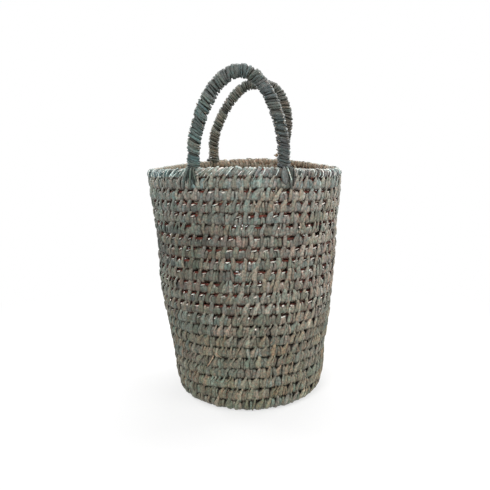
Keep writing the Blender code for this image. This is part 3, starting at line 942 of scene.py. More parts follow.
@dataclass
class Bundle:
    """The bundle of leaf inside the turns: one closed tube along a line."""

    name: str
    space: Space
    start: float
    end: float
    steps: int
    half_out: float
    half_up: float
    sides: int = 12
    run_per_step: float = 0.1
    run_round: float = 1.8
    # Painted shade: the bundle is near black low on the wall and on its sides; its red-brown shows only
    # higher up, on the faces towards the gaps between rows.
    tight_shade_colour: Triple = (44, 40, 34)
    open_colour: Triple = (122, 58, 43)
    open_zone: Pair = (0.12, 0.07)
    facing_zone: Pair = (0.60, 0.2)

    def build(self, body: Body, stands_for: tuple[str, ...] = ()) -> None:
        """Roll a grid into a tube along the line, and close its ends.

        Args:
            body: The body that it moves with.
            stands_for: The frame's nodes that it replaces.
        """
        work = bmesh.new()
        bmesh.ops.create_grid(work, x_segments=self.steps, y_segments=self.sides, size=1)
        run = work.loops.layers.uv.new(RUN)
        for corner in (corner for face in work.faces for corner in face.loops):
            x, y, _ = corner.vert.co
            corner[run].uv = (y * self.run_round, x * self.steps * self.run_per_step)
        grid = np.array([vert.co[:2] for vert in work.verts])
        place = self.start + (grid[:, 0] + 1) / 2 * (self.end - self.start)
        around = grid[:, 1] * math.pi
        share = self.space.station(place)[1] if isinstance(self.space, Coil) else 1.0
        out = self.half_out * share * np.cos(around)
        up = self.half_up * share * np.sin(around)
        points = self.space.put(place, np.zeros_like(place), out, up)
        # Painted shade everywhere but on the faces towards the gaps, high on the wall.
        facing = rise(np.abs(np.sin(around)), *self.facing_zone)
        opened = rise(points[:, 2], *self.open_zone) * facing
        low, high = linear(np.array(self.tight_shade_colour)), linear(np.array(self.open_colour))
        tones = low + (high - low) * opened[:, None]
        tint = work.verts.layers.float_color.new(TINT)
        for vert, point, tone in zip(work.verts, points, tones):
            vert.co = point
            vert[tint] = (*tone, 1.0)
        bmesh.ops.remove_doubles(work, verts=work.verts, dist=MERGE_GAP)
        open_edges = [edge for edge in work.edges if edge.is_boundary]
        bmesh.ops.holes_fill(work, edges=open_edges, sides=self.sides)
        bmesh.ops.recalc_face_normals(work, faces=work.faces)
        add_piece(self.name, finished_mesh(work, self.name), body, BUNDLE, stands_for)


@dataclass(frozen=True)
class Weave:
    """How rows are stitched.

    Most pairs are the value where the rows lie tight and the value where they stand open.
    A zone says where something begins and over what length it grows.
    """

    half_up: Pair = (0.0071, 0.0070)
    half_out: float = 0.0050
    crown: Pair = (0.0020, 0.0014)
    slack: float = 0.00035
    hole_chance: float = 0.84
    hole_drop: float = 0.0018
    hole_sink: float = 0.75
    hole_tilt: float = 0.18
    three_chance: Pair = (0.04, 0.16)
    pair_places: Numbers = (0.46, 0.80)
    pair_width: float = 0.0034
    three_places: Numbers = (0.38, 0.62, 0.86)
    three_width: float = 0.0023
    usual_spacing: float = 0.0160
    spacing_limits: Pair = (0.4, 1.05)
    wrap_lean: Pair = (math.radians(3), math.radians(1))
    lean_jitter: float = math.radians(6)
    bind_place: float = 0.12
    bind_lift: float = 0.0007
    bind_width: Pair = (0.0040, 0.0037)
    bind_reach: Pair = (0.0060, 0.0052)
    thin_reach: float = 1.2
    least_reach: float = 0.2
    bind_hook: Pair = (0.0040, 0.0020)
    bind_lean: Pair = (math.radians(2), math.radians(3))
    bind_crown: float = 1.15
    bind_tone: Triple = (8.0, 5.0, 3.0)
    neck: Pair = (0.50, 0.22)
    neck_height: float = 0.35
    second_chance: Pair = (0.45, 0.16)
    second_place: float = 0.62
    second_width: float = 0.0017
    second_neck: float = 0.1
    least_above: float = 0.08
    # Thin pale strips along the tops of open rows, painted pale as a highlight.
    edge_chance: float = 0.74
    edge_place: float = 0.12
    edge_top: float = 0.91
    edge_drop: float = 1.7
    edge_highlight: Triple = (240.0, 234.0, 227.0)
    blob_chance: float = 0.24
    open_zone: Pair = (0.30, 0.16)
    rim_zone: Pair = (0.86, 0.08)
    rim_calm: float = 0.55

    def openness(self, height: Array) -> Array:
        """How open the rows stand at a share of the wall's height, from 0 to 1."""
        return (1 - self.rim_calm * rise(height, *self.rim_zone)) * rise(height, *self.open_zone)

    def between(self, pair: Pair, openness: Array) -> Array:
        """A value between its tight and its open size."""
        return pair[0] + (pair[1] - pair[0]) * openness


@dataclass
class Cells:
    """The stitches of some rows, with one value in each array for each stitch."""

    coil: Coil
    place: Array
    width: Array
    opened: Array
    holes: Array

    def spots(self, cell: Array, share: Values, jitter: Array) -> Array:
        """Turns of the coil at shares of some cells' widths, give or take some metres."""
        place = self.place[cell]
        return place + self.coil.turns((share - 0.5) * self.width[cell] + jitter, place)


@dataclass
class Rows:
    """The coiled rows between two turns: the bundle, its wraps and its binding turns."""

    coil: Coil
    dye: Dye
    name: str
    start: float
    end: float
    seed: int
    stands_for: tuple[str, ...]
    weave: Weave = Weave()
    bands: int = 1
    binds: bool = True
    edged: bool = False
    spacing: Pair = (0.0143, 0.0164)
    place_jitter: float = 0.0008
    core_out: float = 0.0047
    core_up: float = 0.0063
    steps_per_turn: int = 60
    samples_per_turn: int = 200

    def _cells(self, rng: Rng) -> Cells:
        """Count off the stitches along the coil, by how wide they are at each height."""
        samples = int((self.end - self.start) * self.samples_per_turn) + 2
        grid = np.linspace(self.start, self.end, samples)
        spacing = self.weave.between(self.spacing, self.coil.height_share(grid))
        density = TAU * self.coil.ring(grid) / spacing
        count = np.concatenate([[0.0], np.cumsum((density[1:] + density[:-1]) / 2 * np.diff(grid))])
        place = np.interp(np.arange(0.5, math.floor(count[-1]) + 0.01), count, grid)
        width = np.interp(place, grid, spacing)
        draws = Draws(rng, len(place))
        place = place + self.coil.turns(draws.near(self.place_jitter), place)
        opened = self.weave.openness(self.coil.height_share(place))
        return Cells(self.coil, place, width, opened, draws.happens(self.weave.hole_chance))

    def build(self) -> None:
        """Make the bundle, and wind its leaf."""
        rng = np.random.default_rng(self.seed)
        steps = int((self.end - self.start) * self.steps_per_turn)
        line = (self.coil, self.start, self.end, steps, self.core_out, self.core_up)
        Bundle(f"{self.name}_bundle", *line).build(Body.BASKET, self.stands_for)
        cells = self._cells(rng)
        layers = [("wraps", self._wraps(cells, rng), 12)]
        if self.binds:
            layers.append(("stitches", self._bindings(cells, rng), 14))
        if self.edged:
            layers.append(("edges", self._edges(cells, rng), 8))
        bounds = np.linspace(self.start, self.end, self.bands + 1)
        for layer, turns, rings in layers:
            for band, (low, high) in enumerate(zip(bounds, bounds[1:]), start=1):
                held = (turns.place >= low) & (turns.place < high)
                name = f"{self.name}_{layer}_{band}"
                if held.any():
                    wind(name, turns.only(held), rings, self.coil, Body.BASKET, rng)

    def _colours(self, place: Array, rng: Rng) -> Array:
        """Screen colours of strips at these turns, a few strips to each leaf."""
        height, across = self.coil.height_share(place), np.cos(self.coil.angle(place))
        return self.dye.strips(height, across, leaf_runs(len(place), rng), rng)

    def _wraps(self, cells: Cells, rng: Rng) -> Turns:
        """The turns that cover the bundle between the stitches, two or three in each cell."""
        weave = self.weave
        whole = Draws(rng, len(cells.place))
        three = whole.happens(weave.between(weave.three_chance, cells.opened))
        slack = whole.near(weave.slack)
        strips = [
            (cell, share, width)
            for held, shares, width in (
                (three, weave.three_places, weave.three_width),
                (~three, weave.pair_places, weave.pair_width),
            )
            for share in shares
            for cell in np.flatnonzero(held)
        ]
        cell, share, width = (np.array(row) for row in zip(*strips))
        draws = Draws(rng, len(cell))
        place = cells.spots(cell, share, draws.near(0.0003))
        order = np.argsort(place)
        cell, place, width = cell[order], place[order], width[order]
        opened = cells.opened[cell]
        holed = opened * cells.holes[cell]
        thick = self.coil.station(place)[1]
        drop = weave.hole_drop * holed
        half_up = weave.between(weave.half_up, opened) + slack[cell] + draws.near(0.0002)
        room = np.clip(cells.width[cell] / weave.usual_spacing, *weave.spacing_limits)
        return Turns(
            place=place,
            half_out=weave.half_out * thick * draws.factor(0.05),
            half_up=(half_up - drop) * thick,
            mid_up=draws.near(weave.slack) - drop * weave.hole_sink,
            mid_out=draws.near(weave.slack),
            width=width * draws.factor(0.13) * room,
            crown=weave.between(weave.crown, opened) * draws.factor(0.22),
            colour=self._colours(place, rng),
            lean_up=weave.between(weave.wrap_lean, opened) + draws.near(weave.lean_jitter),
            shingle=draws.near(0.0005, 0.0002),
            pinch=draws.between(0.0, 0.30),
            tilt=weave.hole_tilt * holed,
            # The painted crest highlight comes only at the openings, where the painted shade beneath
            # turns red-brown.
            openness=holed * whole.between(0.5, 1.0)[cell],
        )

    def _edges(self, cells: Cells, rng: Rng) -> Turns:
        """Thin pale strips along the top of the row, below the openings: a painted highlight where
        light catches the row's top edge.
        """
        weave = self.weave
        cell = np.flatnonzero(cells.holes)
        below = self.coil.height_share(cells.place[cell]) < weave.edge_top
        chosen = Draws(rng, len(cell)).happens(weave.edge_chance * cells.opened[cell])
        cell = cell[below & chosen]
        width = weave.edge_place * cells.width[cell]
        place = cells.place[cell] + self.coil.turns(width, cells.place[cell])
        draws = Draws(rng, len(cell))
        blob = draws.happens(weave.blob_chance)
        tall = weave.between(weave.half_up, cells.opened[cell]) - weave.hole_drop * weave.edge_drop
        tone = np.where(blob, 1.0, draws.between(0.45, 0.95))[:, None]
        base = self._colours(place, rng)
        return Turns(
            place=place,
            half_out=draws.between(0.0005, 0.0009),
            half_up=np.where(blob, draws.between(0.0008, 0.0012), draws.between(0.0004, 0.0007)),
            mid_out=draws.between(0.0042, 0.0052),
            mid_up=tall * self.coil.station(place)[1] + np.where(blob, 0.0012, 0.0008),
            width=np.where(blob, draws.between(0.0011, 0.0017), draws.between(0.0032, 0.0052)),
            crown=0.0004,
            colour=base + (np.array(weave.edge_highlight) - base) * tone,
            shift=np.where(blob, draws.between(-0.0030, 0.0030), 0.0),
            tilt=draws.near(0.08, weave.hole_tilt + 0.05),
            sway=0.0001,
            rough=0.00005,
        )

    def _bindings(self, cells: Cells, rng: Rng) -> Turns:
        """The leaning turns that reach up into the row above and bind the two."""
        weave = self.weave
        whole = len(cells.place)
        extra = Draws(rng, whole).happens(weave.between(weave.second_chance, cells.opened))
        cell = np.concatenate([np.arange(whole), np.flatnonzero(extra)])
        main = np.arange(len(cell)) < whole
        share = np.where(main, weave.bind_place, weave.second_place)
        place = cells.spots(cell, share, Draws(rng, len(cell)).near(0.0005))
        above = self.coil.station(place + 1)[1]
        order = np.argsort(place)
        order = order[above[order] > weave.least_above]
        cell, place, main, above = cell[order], place[order], main[order], above[order]
        draws = Draws(rng, len(cell))
        opened = cells.opened[cell]
        thick = self.coil.station(place)[1]
        tall = weave.between(weave.half_up, opened) * thick
        reach = weave.between(weave.bind_reach, opened) + draws.near(0.0008)
        reach = reach * np.clip(above * weave.thin_reach, weave.least_reach, 1)
        width = np.where(main, weave.between(weave.bind_width, opened), weave.second_width)
        neck = np.where(main, weave.between(weave.neck, opened), weave.second_neck)
        colour = self._colours(place, rng) + np.array(weave.bind_tone) + draws.tones(5)
        return Turns(
            place=place,
            half_out=(weave.half_out + weave.bind_lift) * thick * draws.factor(0.04),
            half_up=tall + reach / 2,
            mid_up=reach / 2,
            width=width * draws.factor(0.14),
            crown=weave.between(weave.crown, opened) * draws.near(0.2, weave.bind_crown),
            colour=colour,
            lean_up=weave.between(weave.bind_lean, opened) + draws.near(weave.lean_jitter),
            shingle=draws.near(0.0005),
            pinch=draws.between(0.0, 0.12),
            squareness=2.6,
            neck=neck + draws.near(0.08),
            neck_from=tall * weave.neck_height,
            hook=weave.between(weave.bind_hook, opened) + draws.near(0.0012),
            openness=opened * draws.between(0.0, 0.45),
        )


@dataclass
class RimEdge:
    """The overcast edge: leaning turns over the last row, all round the mouth."""

    coil: Coil
    dye: Dye
    seed: int = 31
    spacing: float = 0.0066
    half_out: float = 0.0066
    half_up: float = 0.0072
    crown: float = 0.0016
    width: float = 0.0027
    sides: Numbers = (-1.0, -0.45, -0.1, 0.25, 0.5, 1.0)
    leans: Numbers = (36, 46, 50, 34, 14, 8)
    overlap: float = 0.125
    back_zone: Pair = (-0.2, 1.0)
    left_zone: Pair = (0.35, 0.3)
    right_zone: Pair = (0.15, 0.4)
    back_width: float = 0.35
    left_width: float = -0.15
    back_flat: float = 0.45
    back_calm: float = 0.5
    back_level: float = 0.7
    # Thin pale strips beside some turns, painted pale as a highlight: how often, more on the left and
    # at the right front, how far they stand off and their tone.
    pale_chance: float = 0.62
    pale_left: float = 1.7
    pale_right: float = 0.8
    pale_until: float = 0.3
    # Painted highlight: how much stronger the crest highlight is at the right front.
    right_pale: float = 0.5
    pale_stand: float = 0.0009
    pale_highlight_tone: Triple = (208.0, 217.0, 214.0)
    back_tone: Triple = (132, 112, 90)
    back_share: float = 0.6
    left_tone: Triple = (-22, -12, -9)
    right_tone: Triple = (-6, -19, -20)
    # Painted highlight on each overcast turn's crest, and painted shade at its side edges.
    shading: Shading = Shading(
        crest=(226, 232, 230), highlight_open=0.6, groove_shade=(28, 29, 27), groove_shade_share=0.85
    )

    def build(self) -> None:
        """Wind the edge."""
        coil = self.coil
        rng = np.random.default_rng(self.seed)
        draws = Draws(rng, int(TAU * coil.mouth_radius / self.spacing))
        start = coil.rim_turn - self.overlap
        place = np.linspace(start, start + 1, draws.count, endpoint=False) + draws.near(0.0004)
        thick = coil.station(place)[1]
        share = np.maximum(thick, coil.rim_row_share)
        sunk = (share - thick) * coil.half_row
        side = np.cos(coil.angle(place))
        back = rise(np.sin(coil.angle(place)), *self.back_zone)
        front = 1 - back
        leftmost = rise(-side, *self.left_zone) * front
        rightmost = rise(side, *self.right_zone) * front
        lean = np.radians(np.interp(side, self.sides, self.leans))
        colour = self.dye.strips(1.0, side, leaf_runs(draws.count, rng), rng) + draws.tones(9, 1)
        colour = colour + (np.array(self.back_tone) - colour) * (self.back_share * back[:, None])
        colour = colour + np.array(self.left_tone) * leftmost[:, None]
        colour = colour + np.array(self.right_tone) * rightmost[:, None]
        # More painted highlight strips on the left and at the right front, none at the back.
        more = self.pale_left - ease(side + 0.5) + self.pale_right * rightmost
        pale = draws.happens(self.pale_chance * more) & (back < self.pale_until)
        self._pale_edges(place[pale], share[pale], lean[pale], rng)
        calm = 1 - self.back_calm * back
        wide = 1 + self.back_width * back + self.left_width * leftmost
        turns = Turns(
            place=place,
            half_out=self.half_out * share * draws.factor(0.05),
            half_up=self.half_up * share * draws.factor(0.04),
            width=self.width * (wide + draws.near(0.2 * calm)),
            crown=self.crown * (1 - self.back_flat * back) * draws.factor(0.25),
            colour=colour,
            mid_up=draws.near(0.0005) * (1 - self.back_level * back) - sunk,
            lean_up=lean * calm + draws.near(math.radians(9)) * calm,
            shingle=draws.near(0.0005, 0.0003),
            pinch=draws.between(0.05, 0.35),
            # Painted highlight: the crest is painted paler at the right front.
            openness=1 + self.right_pale * rightmost,
        )
        wind("rim_overcast", turns, 14, coil, Body.BASKET, rng, self.shading)

    def _pale_edges(self, place: Array, share: Array, lean: Array, rng: Rng) -> None:
        """Wind thin pale strips beside some of the turns: a painted highlight, with painted shade
        beneath.
        """
        draws = Draws(rng, len(place))
        beside = rng.choice([-1.0, 1.0], len(place), p=[0.7, 0.3]) * draws.between(0.0012, 0.0024)
        turns = Turns(
            place=place,
            half_out=self.half_out * share + self.pale_stand,
            half_up=self.half_up * share + draws.between(0.0002, 0.0010),
            width=draws.between(0.0004, 0.0008),
            crown=0.0009,
            colour=np.array(self.pale_highlight_tone) + draws.tones(24),
            lean_up=lean + draws.near(math.radians(7)),
            shift=beside,
            rough=0.0001,
        )
        wind("rim_pale_edges", turns, 14, self.coil, Body.BASKET, rng, HIGHLIGHT_STRIP)


@dataclass
class LooseFibres:
    """Thin fibres that have come away and lie across the face of the wall."""

    coil: Coil
    seed: int = 37
    count: int = 26
    tone: Triple = (176.0, 150.0, 126.0)
    long_angle: float = math.radians(-114.5)
    long_row: float = 3.0
    long_reach: float = 0.0102
    long_lean: float = math.radians(31)
    long_tone: float = 6.0
    long_out: float = 0.0084
    widths: Pair = (0.0005, 0.0003)

    def build(self) -> None:
        """Lay the fibres, with the one long pale fibre of the front first."""
        coil = self.coil
        rng = np.random.default_rng(self.seed)
        draws = Draws(rng, self.count)
        first = coil.turn_at(self.long_angle, coil.wall_turn + self.long_row)
        place = np.append(first, draws.between(coil.wall_turn + 1, coil.rim_turn - 1))
        reach = np.append(self.long_reach, draws.between(0.0025, 0.0060))
        lean = np.append(self.long_lean, draws.near(0.7))
        tone = np.append(self.long_tone, draws.near(14, -14))[:, None]
        turns = Turns(
            place=place,
            half_out=0.0004,
            half_up=reach,
            mid_out=np.append(self.long_out, draws.between(0.0070, 0.0080)),
            mid_up=Draws(rng, len(place)).near(0.003),
            width=np.append(self.widths[0], np.full(self.count, self.widths[1])),
            crown=0.0002,
            colour=np.array(self.tone) + tone,
            lean_up=lean,
        )
        wind("loose_fibres", turns, 10, coil, Body.BASKET, rng, FIBRE)


@dataclass
class StartKnot:
    """The tied start of the coil, in the middle of the base."""

    coil: Coil
    dye: Dye
    seed: int = 41
    turn: float = 1.287
    offset: float = 0.0060
    level: float = 0.0051
    half_out: float = 0.0052
    half_up: float = 0.0041
    turns: int = 7
    first_angle: float = 0.3

    def build(self) -> None:
        """Wind the knot."""
        rng = np.random.default_rng(self.seed)
        draws = Draws(rng, self.turns)
        away = self.coil.angle(self.turn)
        x = self.offset * math.cos(away) + self.coil.body_lean
        y = self.offset * math.sin(away)
        strips = np.arange(self.turns)
        turns = Turns(
            place=strips * math.pi / self.turns + self.first_angle,
            colour=self.dye.strips(0.0, 0.0, strips, rng),
            half_out=self.half_out * draws.factor(0.03),
            half_up=self.half_up,
            width=0.0024,
            crown=0.0009,
            lean_up=draws.near(math.radians(8)),
        )
        knot = Ball((x, y, self.level))
        stands_for = ("base_start_knot",)
        wind("start_knot", turns, 12, knot, Body.BASKET, rng, stands_for=stands_for)


@dataclass
class Handle:
    """A rope handle: a bundle, and a close winding of leaf that stands out in ridges.

    An edge run of small pale strips, painted pale as a highlight, says from where to where
    along the rope it goes, as shares, then its spacing, the degrees round the rope and the tone.
    """

    name: str
    rope: Rope
    body: Body
    seed: int
    dye: Dye
    swell: float
    swell_place: float = 0.33
    swell_length: float = 0.22
    swell_inward: float = 0.6
    apex_width: float = 0.16
    apex_calm: float = 0.8
    spacing: float = 0.0036
    extra_turns: int = 12
    radius: float = 0.0077
    crown: float = 0.0015
    width: float = 0.0020
    start: float = -0.0035
    foot_taper: float = 0.14
    foot_length: float = 0.012
    # Painted shade: every other turn sits lower and is painted darker.
    sunk_shade: float = 16.0
    low_depth: float = 0.0007
    # Share of turns with a pale outer edge, partly wear and partly painted glint.
    wear_and_glint_chance: float = 0.45
    lean: float = math.radians(22)
    core_radius: float = 0.0068
    core_steps: int = 150
    # Painted shade: the rope's bundle is dark so that the gaps between ridges read as shade.
    core_shade: Triple = (54, 54, 48)
    edge_runs: tuple[Numbers, ...] = (
        (0.58, 0.96, 0.0046, 42, 206), (0.06, 0.42, 0.0070, 32, 200),
        (0.04, 0.30, 0.0056, 140, 138), (0.78, 0.97, 0.0060, 128, 150),
    )
    edge_radius: float = 0.0085
    edge_swell: float = 0.7
    edge_tint: Triple = (0.0, 5.0, 1.0)
    torn_place: float = 0.974
    torn_offsets: Numbers = (-0.0014, 0.0, 0.0014)
    torn_lengths: Numbers = (0.0011, 0.0027, 0.0014)
    torn_tone: Triple = (124.0, 106.0, 78.0)

    def build(self) -> None:
        """Make the rope's bundle, and wind its leaf."""
        rng = np.random.default_rng(self.seed)
        length = self.rope.length
        Bundle(
            f"{self.name}_bundle", self.rope, self.start, length - self.start, self.core_steps,
            self.core_radius, self.core_radius, tight_shade_colour=self.core_shade,
            open_colour=self.core_shade,
        ).build(self.body, (f"{self.name}_core",))
        even = int((length - 2 * self.start) / self.spacing)
        place = np.linspace(self.start, length - self.start, even)
        over = rng.uniform(0, length, self.extra_turns)
        place = np.sort(np.concatenate([place + Draws(rng, even).near(0.0005), over]))
        draws = Draws(rng, len(place))
        share = place / length
        apex = bell(share, 0.5, self.apex_width)
        lean = self.lean * (1 - self.apex_calm * apex) + draws.near(math.radians(5))
        runs = leaf_runs(draws.count, rng)
        low = np.where(np.arange(draws.count) % 2 == 0, 1.0, 0.0) * draws.between(0.2, 1.0)
        colour = self.dye.strips(1.0, 2 * share - 1, runs, rng) - self.sunk_shade * low[:, None]
        near_foot = 1 - ease(np.minimum(place, length - place) / self.foot_length)
        swollen = self._swollen(share)
        radius = self.radius * (1 - self.foot_taper * near_foot) + swollen - self.low_depth * low
        turns = Turns(
            place=place,
            half_out=radius + draws.near(0.00015),
            half_up=radius + draws.near(0.00015),
            width=self.width * draws.factor(0.18),
            crown=self.crown * draws.factor(0.2),
            colour=colour,
            mid_out=-self.swell_inward * swollen * (1 - apex),
            lean_out=lean,
            lean_up=draws.near(math.radians(5)),
            shingle=draws.near(0.0003, 0.0002),
            squareness=2.0,
            rough=0.00012,
            sway=0.0004,
            openness=np.where(draws.happens(self.wear_and_glint_chance) & (low == 0), 1 - apex, 0.0),
        )
        stands_for = (f"{self.name}_wrap",)
        wind(f"{self.name}_winding", turns, 16, self.rope, self.body, rng, PLAIN, stands_for)
        self._worn_edges(rng)
        self._torn_end(rng)

    def _swollen(self, share: Array) -> Array:
        """How much thicker the rope is at a share of its length."""
        return self.swell * bell(share, self.swell_place, self.swell_length)

    def _worn_edges(self, rng: Rng) -> None:
        """Wind small pale strips in a line down each leg of the rope: a painted highlight, with painted
        shade beneath.
        """
        length = self.rope.length
        rows = []
        for low, high, spacing, turned, tone in self.edge_runs:
            run = np.arange(low * length, high * length, spacing)
            near = Draws(rng, len(run)).near
            rows.append([run + near(0.0007), turned + near(7), tone + near(24)])
        place, degrees, tone = (np.concatenate(row) for row in zip(*rows))
        turned = np.radians(degrees)
        draws = Draws(rng, len(place))
        radius = self.edge_radius + self._swollen(place / length) * self.edge_swell
        turns = Turns(
            place=place,
            half_out=draws.between(0.0003, 0.0006),
            half_up=draws.between(0.0003, 0.0006),
            mid_out=radius * np.cos(turned),
            mid_up=self.rope.side.value * radius * np.sin(turned),
            width=draws.between(0.0004, 0.0008),
            crown=0.0012,
            colour=tone[:, None] + np.array(self.edge_tint),
            lean_out=draws.near(math.radians(14), math.radians(38)),
            rough=0.0001,
            sway=0.0001,
        )
        wind(f"{self.name}_edges", turns, 8, self.rope, self.body, rng, HIGHLIGHT_STRIP)

    def _torn_end(self, rng: Rng) -> None:
        """Let one torn end of leaf stand off the rope, on its inner side near the right foot."""
        place = self.torn_place * self.rope.length + np.array(self.torn_offsets)
        reach = np.array(self.torn_lengths)
        turns = Turns(
            place=place,
            half_out=reach,
            half_up=0.0006,
            mid_out=-(self.radius + self.crown + 0.5 * reach),
            width=0.0009,
            crown=0.0003,
            colour=np.array(self.torn_tone) + Draws(rng, len(place)).tones(10),
            rough=0.0001,
            sway=0.0001,
        )
        wind(f"{self.name}_torn_end", turns, 8, self.rope, self.body, rng, FIBRE)


FRONT_ROPE_DYE = Dye(
    heights=(0, 1), reds=(83, 83), greens=(89, 89), blues=(86, 86), right_tint_and_light=(-19, -22, -20),
    right_shares=(1, 1), left_tint_and_shade=(-8, 2, 2), left_shares=(1, 1), teal=(-7, 0, 2),
    tan=(7, 0, -3), pale=(16, 15, 14), dark=(-18, -17, -16),
    chances=(0.24, 0.12, 0.12, 0.20, 0.32), hue_jitter=1.2,
)
BACK_ROPE_DYE = replace(
    FRONT_ROPE_DYE, reds=(92, 92), greens=(94, 94), right_tint_and_light=(-15, -14, -12),
    left_tint_and_shade=(2, 0, -4), chances=(0.20, 0.18, 0.12, 0.18, 0.32),
)


@dataclass(frozen=True)
class Strap:
    """One strip of a lashing: where it starts along the rim, and how it hangs."""

    shift: float
    lean: float
    width: float
    bottom: float
    tone: float
    out: float = 0.0
    pinch: float = 0.15


LEFT_STRAPS = (
    Strap(-0.0046, -22, 0.0018, -0.0185, 2, 0.0012),
    Strap(-0.0056, -27, 0.0005, -0.0130, 84, 0.0026),
    Strap(-0.0026, -14, 0.0018, -0.0195, -62),
    Strap(0.0000, -7, 0.0021, -0.0205, -10, 0.0014),
    Strap(0.0028, 3, 0.0019, -0.0165, -78, 0.0004),
    Strap(0.0048, 8, 0.0012, -0.0135, -30, 0.0012),
)
RIGHT_STRAPS = (
    Strap(0.0000, 2, 0.0030, -0.0140, -76),
    Strap(0.0058, 4, 0.0030, -0.0080, -64, 0.0020),
    Strap(-0.0040, 7, 0.0052, -0.0150, -12, 0.0024, 0.82),
    Strap(0.0000, 20, 0.0007, -0.0100, 84, 0.0036),
    Strap(0.0088, 4, 0.0010, -0.0175, -74, 0.0018),
    Strap(0.0070, 1, 0.0030, -0.0180, -14, 0.0016, 0.75),
)


@dataclass
class Lashing:
    """The leaf that ties a handle's foot to the rim, over the last two rows."""

    coil: Coil
    dye: Dye
    rope: Rope
    rope_dye: Dye
    end: End
    seed: int
    foot_angle: float = math.radians(25.4)
    half_out: float = 0.0070
    collar_places: Numbers = (-0.0088, -0.0058, -0.0029, -0.0001)
    collar_radius: float = 0.0079
    collar_width: float = 0.0019
    collar_crown: float = 0.0015
    collar_lean: float = math.radians(15)
    top: float = 0.0074
    usual_rise: float = 0.0056
    crown: float = 0.0019
    # Painted shade at the strips' side edges and a little beneath them.
    shading: Shading = Shading(under_shade_share=0.2, highlight_open=0.0, highlight_tight=0.0, groove_shade_share=0.85)

    def build(self) -> None:
        """Wind the straps over the rim, and the collar that ties the rope's foot to them."""
        coil, side = self.coil, self.rope.side
        name = f"{side.name.lower()}_{self.end.name.lower()}"
        rng = np.random.default_rng(self.seed)
        across, back = math.sin(self.foot_angle), math.cos(self.foot_angle)
        centre = coil.turn_at(
            math.atan2(side.value * back, self.end.value * across), coil.rim_turn
        )
        left = (self.end is End.LEFT) == (side is Side.FRONT)
        straps = LEFT_STRAPS if left else RIGHT_STRAPS
        shift, lean, width, bottom, tone, out, pinch = np.array([astuple(s) for s in straps]).T
        draws = Draws(rng, len(straps))
        raised = coil.crest - float(coil.station(np.array(centre))[0]) - self.usual_rise
        top = self.top + raised
        reach = (top - (bottom + raised)) / 2
        strips = np.arange(draws.count)
        colour = self.dye.strips(1.0, self.end.value, strips, rng) + tone[:, None]
        turns = Turns(
            place=np.full(draws.count, centre),
            half_out=self.half_out,
            mid_out=out,
            half_up=reach,
            mid_up=top - reach,
            hinge_up=top,
            width=width,
            crown=self.crown * draws.factor(0.15),
            colour=colour,
            lean_up=-np.radians(lean),
            shift=shift,
            shingle=draws.near(0.0006),
            pinch=pinch,
            squareness=3.2,
        )
        stands_for = (f"{name}_lashing",)
        wind(f"{name}_strips", turns, 24, coil, Body.BASKET, rng, self.shading, stands_for)
        self._collar(name, rng)

    def _collar(self, name: str, rng: Rng) -> None:
        """Wind the few turns that hold the rope's foot, below where the handle bends."""
        walked = np.array(self.collar_places)
        draws = Draws(rng, len(walked))
        turns = Turns(
            place=self.rope.length - walked if self.end is End.RIGHT else walked,
            half_out=self.collar_radius + draws.near(0.0002),
            half_up=self.collar_radius + draws.near(0.0002),
            width=self.collar_width * draws.factor(0.12),
            crown=self.collar_crown * draws.factor(0.2),
            colour=self.rope_dye.strips(1.0, self.end.value, np.arange(draws.count), rng),
            lean_out=self.collar_lean + draws.near(math.radians(5)),
            lean_up=draws.near(math.radians(6)),
            shingle=draws.near(0.0005, 0.0002),
            squareness=2.0,
        )
        wind(f"{name}_collar", turns, 16, self.rope, Body.BASKET, rng, PLAIN)


